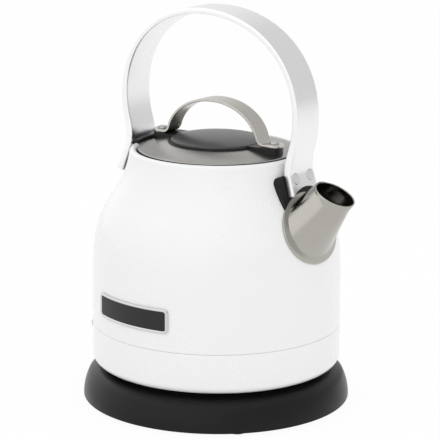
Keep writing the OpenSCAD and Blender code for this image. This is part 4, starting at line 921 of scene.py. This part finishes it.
def make_finishes():
    """One finish for each slot of the record. Plastics share one grain and metals another."""
    moulded = dict(metal=0, rough=0.42, spread=0.07, grain=0.5, grain_mm=0.5, bump_mm=0.03)
    shader("base_black", gray(0.009), gray(0.013), **moulded | dict(rough=0.33), specular=0.16)
    shader("base_under", gray(0.035), gray(0.045), **moulded | dict(rough=0.55))
    shader("foot_rubber", gray(0.05), gray(0.065), **moulded | dict(rough=0.8))
    shader("gland_black", gray(0.03), gray(0.04), **moulded)
    shader("connector_black", gray(0.025), gray(0.032), **moulded | dict(rough=0.25))
    shader("collar_black", gray(0.05), gray(0.06), **moulded | dict(rough=0.5))
    shader("kettle_black", gray(0.03), gray(0.04), **moulded | dict(rough=0.5))
    shader("bracket_black", gray(0.010), gray(0.014), **moulded | dict(rough=0.45), specular=0.2)
    shader("carrier_black", gray(0.010), gray(0.014), **moulded | dict(rough=0.35), specular=0.25)
    shader("lid_black", gray(0.012), gray(0.016), **moulded, specular=0.25)
    shader("dome_grey", gray(0.055), gray(0.065), **moulded | dict(rough=0.3, bump_mm=0.015))
    shader("switch_grey", gray(0.14), gray(0.17), **moulded)
    shader("clip_grey", gray(0.17), gray(0.21), **moulded)
    shader("control_cream", (0.72, 0.67, 0.55), (0.78, 0.74, 0.64), **moulded)
    shader("tube_plastic", gray(0.7, 0.02), gray(0.76, 0.02), **moulded)
    shader("filter_white", gray(0.74, 0.01), gray(0.8, 0.01), **moulded)
    shader("trip_red", (0.45, 0.05, 0.03), (0.52, 0.07, 0.05), **moulded)
    shader("seal_clear", gray(0.62, 0.02), gray(0.7, 0.02), **moulded | dict(rough=0.6))
    shader("seal_black", gray(0.03), gray(0.04), **moulded | dict(rough=0.6))
    shader("paddle_clear", (0.66, 0.68, 0.7), (0.72, 0.74, 0.76), **moulded | dict(rough=0.2))
    shader("led_blue", (0.12, 0.3, 0.8), (0.16, 0.36, 0.9), **moulded | dict(rough=0.12))
    shader("badge_black", gray(0.016), gray(0.02),
           **moulded | dict(rough=0.45, bump_mm=0.01, grain=0.2), specular=0.3)
    shader("body_white", gray(0.92), gray(0.93), metal=0, rough=0.26, spread=0.03, grain=0.02,
           grain_mm=0.9, bump_mm=0.002, coat=0.3, cloud_mm=60)
    metal = dict(metal=1, rough=0.28, spread=0.05, grain=0.35, grain_mm=0.12, bump_mm=0.006)
    shader("vessel_steel", gray(0.55), gray(0.6), **metal, rings=True)
    shader("lid_steel", (0.37, 0.36, 0.345), (0.46, 0.45, 0.435), **metal | dict(rough=0.3),
           rings=True)
    shader("spout_steel", (0.42, 0.405, 0.37), (0.47, 0.455, 0.42), **metal | dict(rough=0.2),
           stretch=(1, 0.12, 1))
    shader("strap_steel", (0.54, 0.52, 0.48), (0.60, 0.58, 0.54), **metal | dict(rough=0.22),
           stretch=(0.08, 1, 0.3))
    shader("handle_aluminium", (0.89, 0.89, 0.90), (0.93, 0.93, 0.94),
           **metal | dict(rough=0.3, grain=0.08, bump_mm=0.002), stretch=(1, 0.06, 1))
    shader("rivet_aluminium", gray(0.78), gray(0.82),
           **metal | dict(rough=0.3, grain=0.1, bump_mm=0.002))
    shader("screw_steel", gray(0.45), gray(0.52), **metal)
    shader("mesh_steel", gray(0.5), gray(0.56), **metal)
    shader("element_steel", (0.34, 0.3, 0.26), (0.42, 0.38, 0.33), **metal)
    shader("spreader_aluminium", gray(0.68), gray(0.76), **metal | dict(rough=0.45))
    shader("badge_chrome", gray(0.62), gray(0.68), **metal | dict(rough=0.12, spread=0.03))
    shader("button_steel", gray(0.6), gray(0.66), **metal | dict(rough=0.18))
    shader("contact_brass", (0.72, 0.52, 0.24), (0.8, 0.6, 0.3), **metal)
    shader("bimetal", (0.5, 0.45, 0.34), (0.6, 0.55, 0.42), **metal)


def dress_cad_nodes():
    """Every solid of the frame takes the finish of its slot."""
    for row in frame["record"]["subparts"]:
        node = frame["nodes"][row["node"]]
        node.data.materials.clear()
        node.data.materials.append(finishes[row["material_slot"]])


# ---- camera, floor and light ----

def aimed(thing, right, up, back, spot):
    """Puts a camera or a lamp at a spot, with its own X, Y and Z along three directions."""
    rows = [[right[k], up[k], back[k], spot[k]] for k in range(3)]
    thing.matrix_world = Matrix(rows + [[0, 0, 0, 1]])


def place_camera():
    """The camera looks at a point on the kettle's axis from the direction of two angles, and is
    rolled a little about its own line of sight."""
    turn, rise, roll = (math.radians(v) for v in (CAMERA_TURN, CAMERA_RISE, CAMERA_ROLL))
    back = np.array([math.sin(turn) * math.cos(rise), -math.cos(turn) * math.cos(rise),
                     math.sin(rise)])
    right = np.array([math.cos(turn), math.sin(turn), 0])
    up = np.cross(back, right)
    right, up = (math.cos(roll) * right + math.sin(roll) * up,
                 math.cos(roll) * up - math.sin(roll) * right)
    data = bpy.data.cameras.new("camera")
    data.sensor_width = SENSOR
    data.lens = FOCAL_PX * SENSOR / PICTURE_W
    data.shift_x = (PICTURE_W / 2 - AXIS_PX) / PICTURE_W
    data.clip_start, data.clip_end = 0.05, 30
    camera = new_object("camera", data)
    aimed(camera, right, up, back, np.array([0, 0, CAMERA_AIM]) + CAMERA_AWAY * back)
    bpy.context.scene.camera = camera


def lay_floor():
    """A pale disc, wide enough to fill the view: rings of points joined by quads, and a fan in
    the middle. What looks straight at it, or by a reflection or through something clear, sees
    it nearly plain white, and the rest is matt, so that it keeps the kettle's shadow."""
    a = np.linspace(0, 2 * np.pi, 96, endpoint=False)
    n, reach = len(a), np.array(FLOOR_RINGS)[:, None]
    rings = np.stack([reach * np.cos(a), reach * np.sin(a), np.zeros((len(reach), n))], -1)
    k = np.arange(n)
    fan = np.stack([0 * k, 1 + k, 1 + (k + 1) % n], -1)
    quads = 1 + grid_faces(len(reach), n, False, True)[:, ::-1]
    mesh = bpy.data.meshes.new("floor")
    points = np.concatenate([[[0, 0, 0]], rings.reshape(-1, 3)])
    mesh.from_pydata(points.tolist(), [], fan.tolist() + quads.tolist())
    new_object("floor", mesh)
    material = bpy.data.materials.new("floor_white")
    material.use_nodes = True
    tree = material.node_tree
    tree.nodes.clear()
    new, link = tree.nodes.new, tree.links.new
    out, seen = new("ShaderNodeOutputMaterial"), new("ShaderNodeLightPath")
    matt, glow = new("ShaderNodeBsdfDiffuse"), new("ShaderNodeEmission")
    mix = new("ShaderNodeMixShader")
    matt.inputs["Color"].default_value = (FLOOR_COLOUR, FLOOR_COLOUR, FLOOR_COLOUR, 1)
    straight = maths(tree, "MAXIMUM", seen.outputs["Is Camera Ray"], seen.outputs["Is Glossy Ray"])
    clear = maths(tree, "MAXIMUM", straight, seen.outputs["Is Transmission Ray"])
    link(maths(tree, "MULTIPLY", clear, FLOOR_SEEN), mix.inputs[0])
    link(matt.outputs[0], mix.inputs[1])
    link(glow.outputs[0], mix.inputs[2])
    link(mix.outputs[0], out.inputs[0])
    mesh.materials.append(material)


def light_studio():
    """A white room. What looks straight at it, or through something clear, sees 1. What lights
    the kettle gets an even level a little below. A reflection gets a level that rises smoothly
    with the product of its direction and the bright side's. Three soft lamps, hidden from
    reflections, give the shapes a little shade."""
    world = bpy.data.worlds.new("studio")
    bpy.context.scene.world = world
    world.use_nodes = True
    tree = world.node_tree
    tree.nodes.clear()
    new, link = tree.nodes.new, tree.links.new
    out, sky = new("ShaderNodeOutputWorld"), new("ShaderNodeBackground")
    seen = new("ShaderNodeLightPath")
    sky.inputs["Color"].default_value = (1, 1, 1, 1)
    link(sky.outputs[0], out.inputs[0])
    place, towards = new("ShaderNodeTexCoord"), new("ShaderNodeVectorMath")
    towards.operation = "DOT_PRODUCT"
    towards.inputs[1].default_value = BRIGHT_SIDE
    link(place.outputs["Generated"], towards.inputs[0])
    lit, level = new("ShaderNodeMix"), new("ShaderNodeMix")
    lit.inputs[2].default_value = ROOM_LEVEL
    link(seen.outputs["Is Glossy Ray"], lit.inputs["Factor"])
    link(ranged(tree, towards.outputs["Value"], BRIGHT_FROM, BRIGHT_TO, REFLECT_LOW, REFLECT_HIGH,
                "SMOOTHSTEP"), lit.inputs[3])
    clear = maths(tree, "MAXIMUM", seen.outputs["Is Camera Ray"],
                  seen.outputs["Is Transmission Ray"])
    level.inputs[3].default_value = 1.0
    link(clear, level.inputs["Factor"])
    link(lit.outputs[0], level.inputs[2])
    link(level.outputs[0], sky.inputs["Strength"])
    for name, spot, size, power in LAMPS:
        data = bpy.data.lights.new(name, "AREA")
        data.shape, data.size, data.energy = "DISK", size, power
        lamp = new_object(name, data)
        lamp.visible_glossy = False
        back = np.array(spot) - LAMP_AIM
        back /= np.linalg.norm(back)
        right = np.cross([0, 0, 1], back)
        right /= np.linalg.norm(right)
        aimed(lamp, right, np.cross(back, right), back, spot)


bpy.context.scene.view_settings.view_transform = "Standard"
make_finishes()
dress_cad_nodes()
place_camera()
lay_floor()
light_studio()
make_base()
make_body()
make_skirt()
make_spout()
make_handle()
make_rivets()
make_front_block()
make_rear_block()
make_badge()
make_lid_cover()
make_dome()
make_strap()
make_strap_screws()
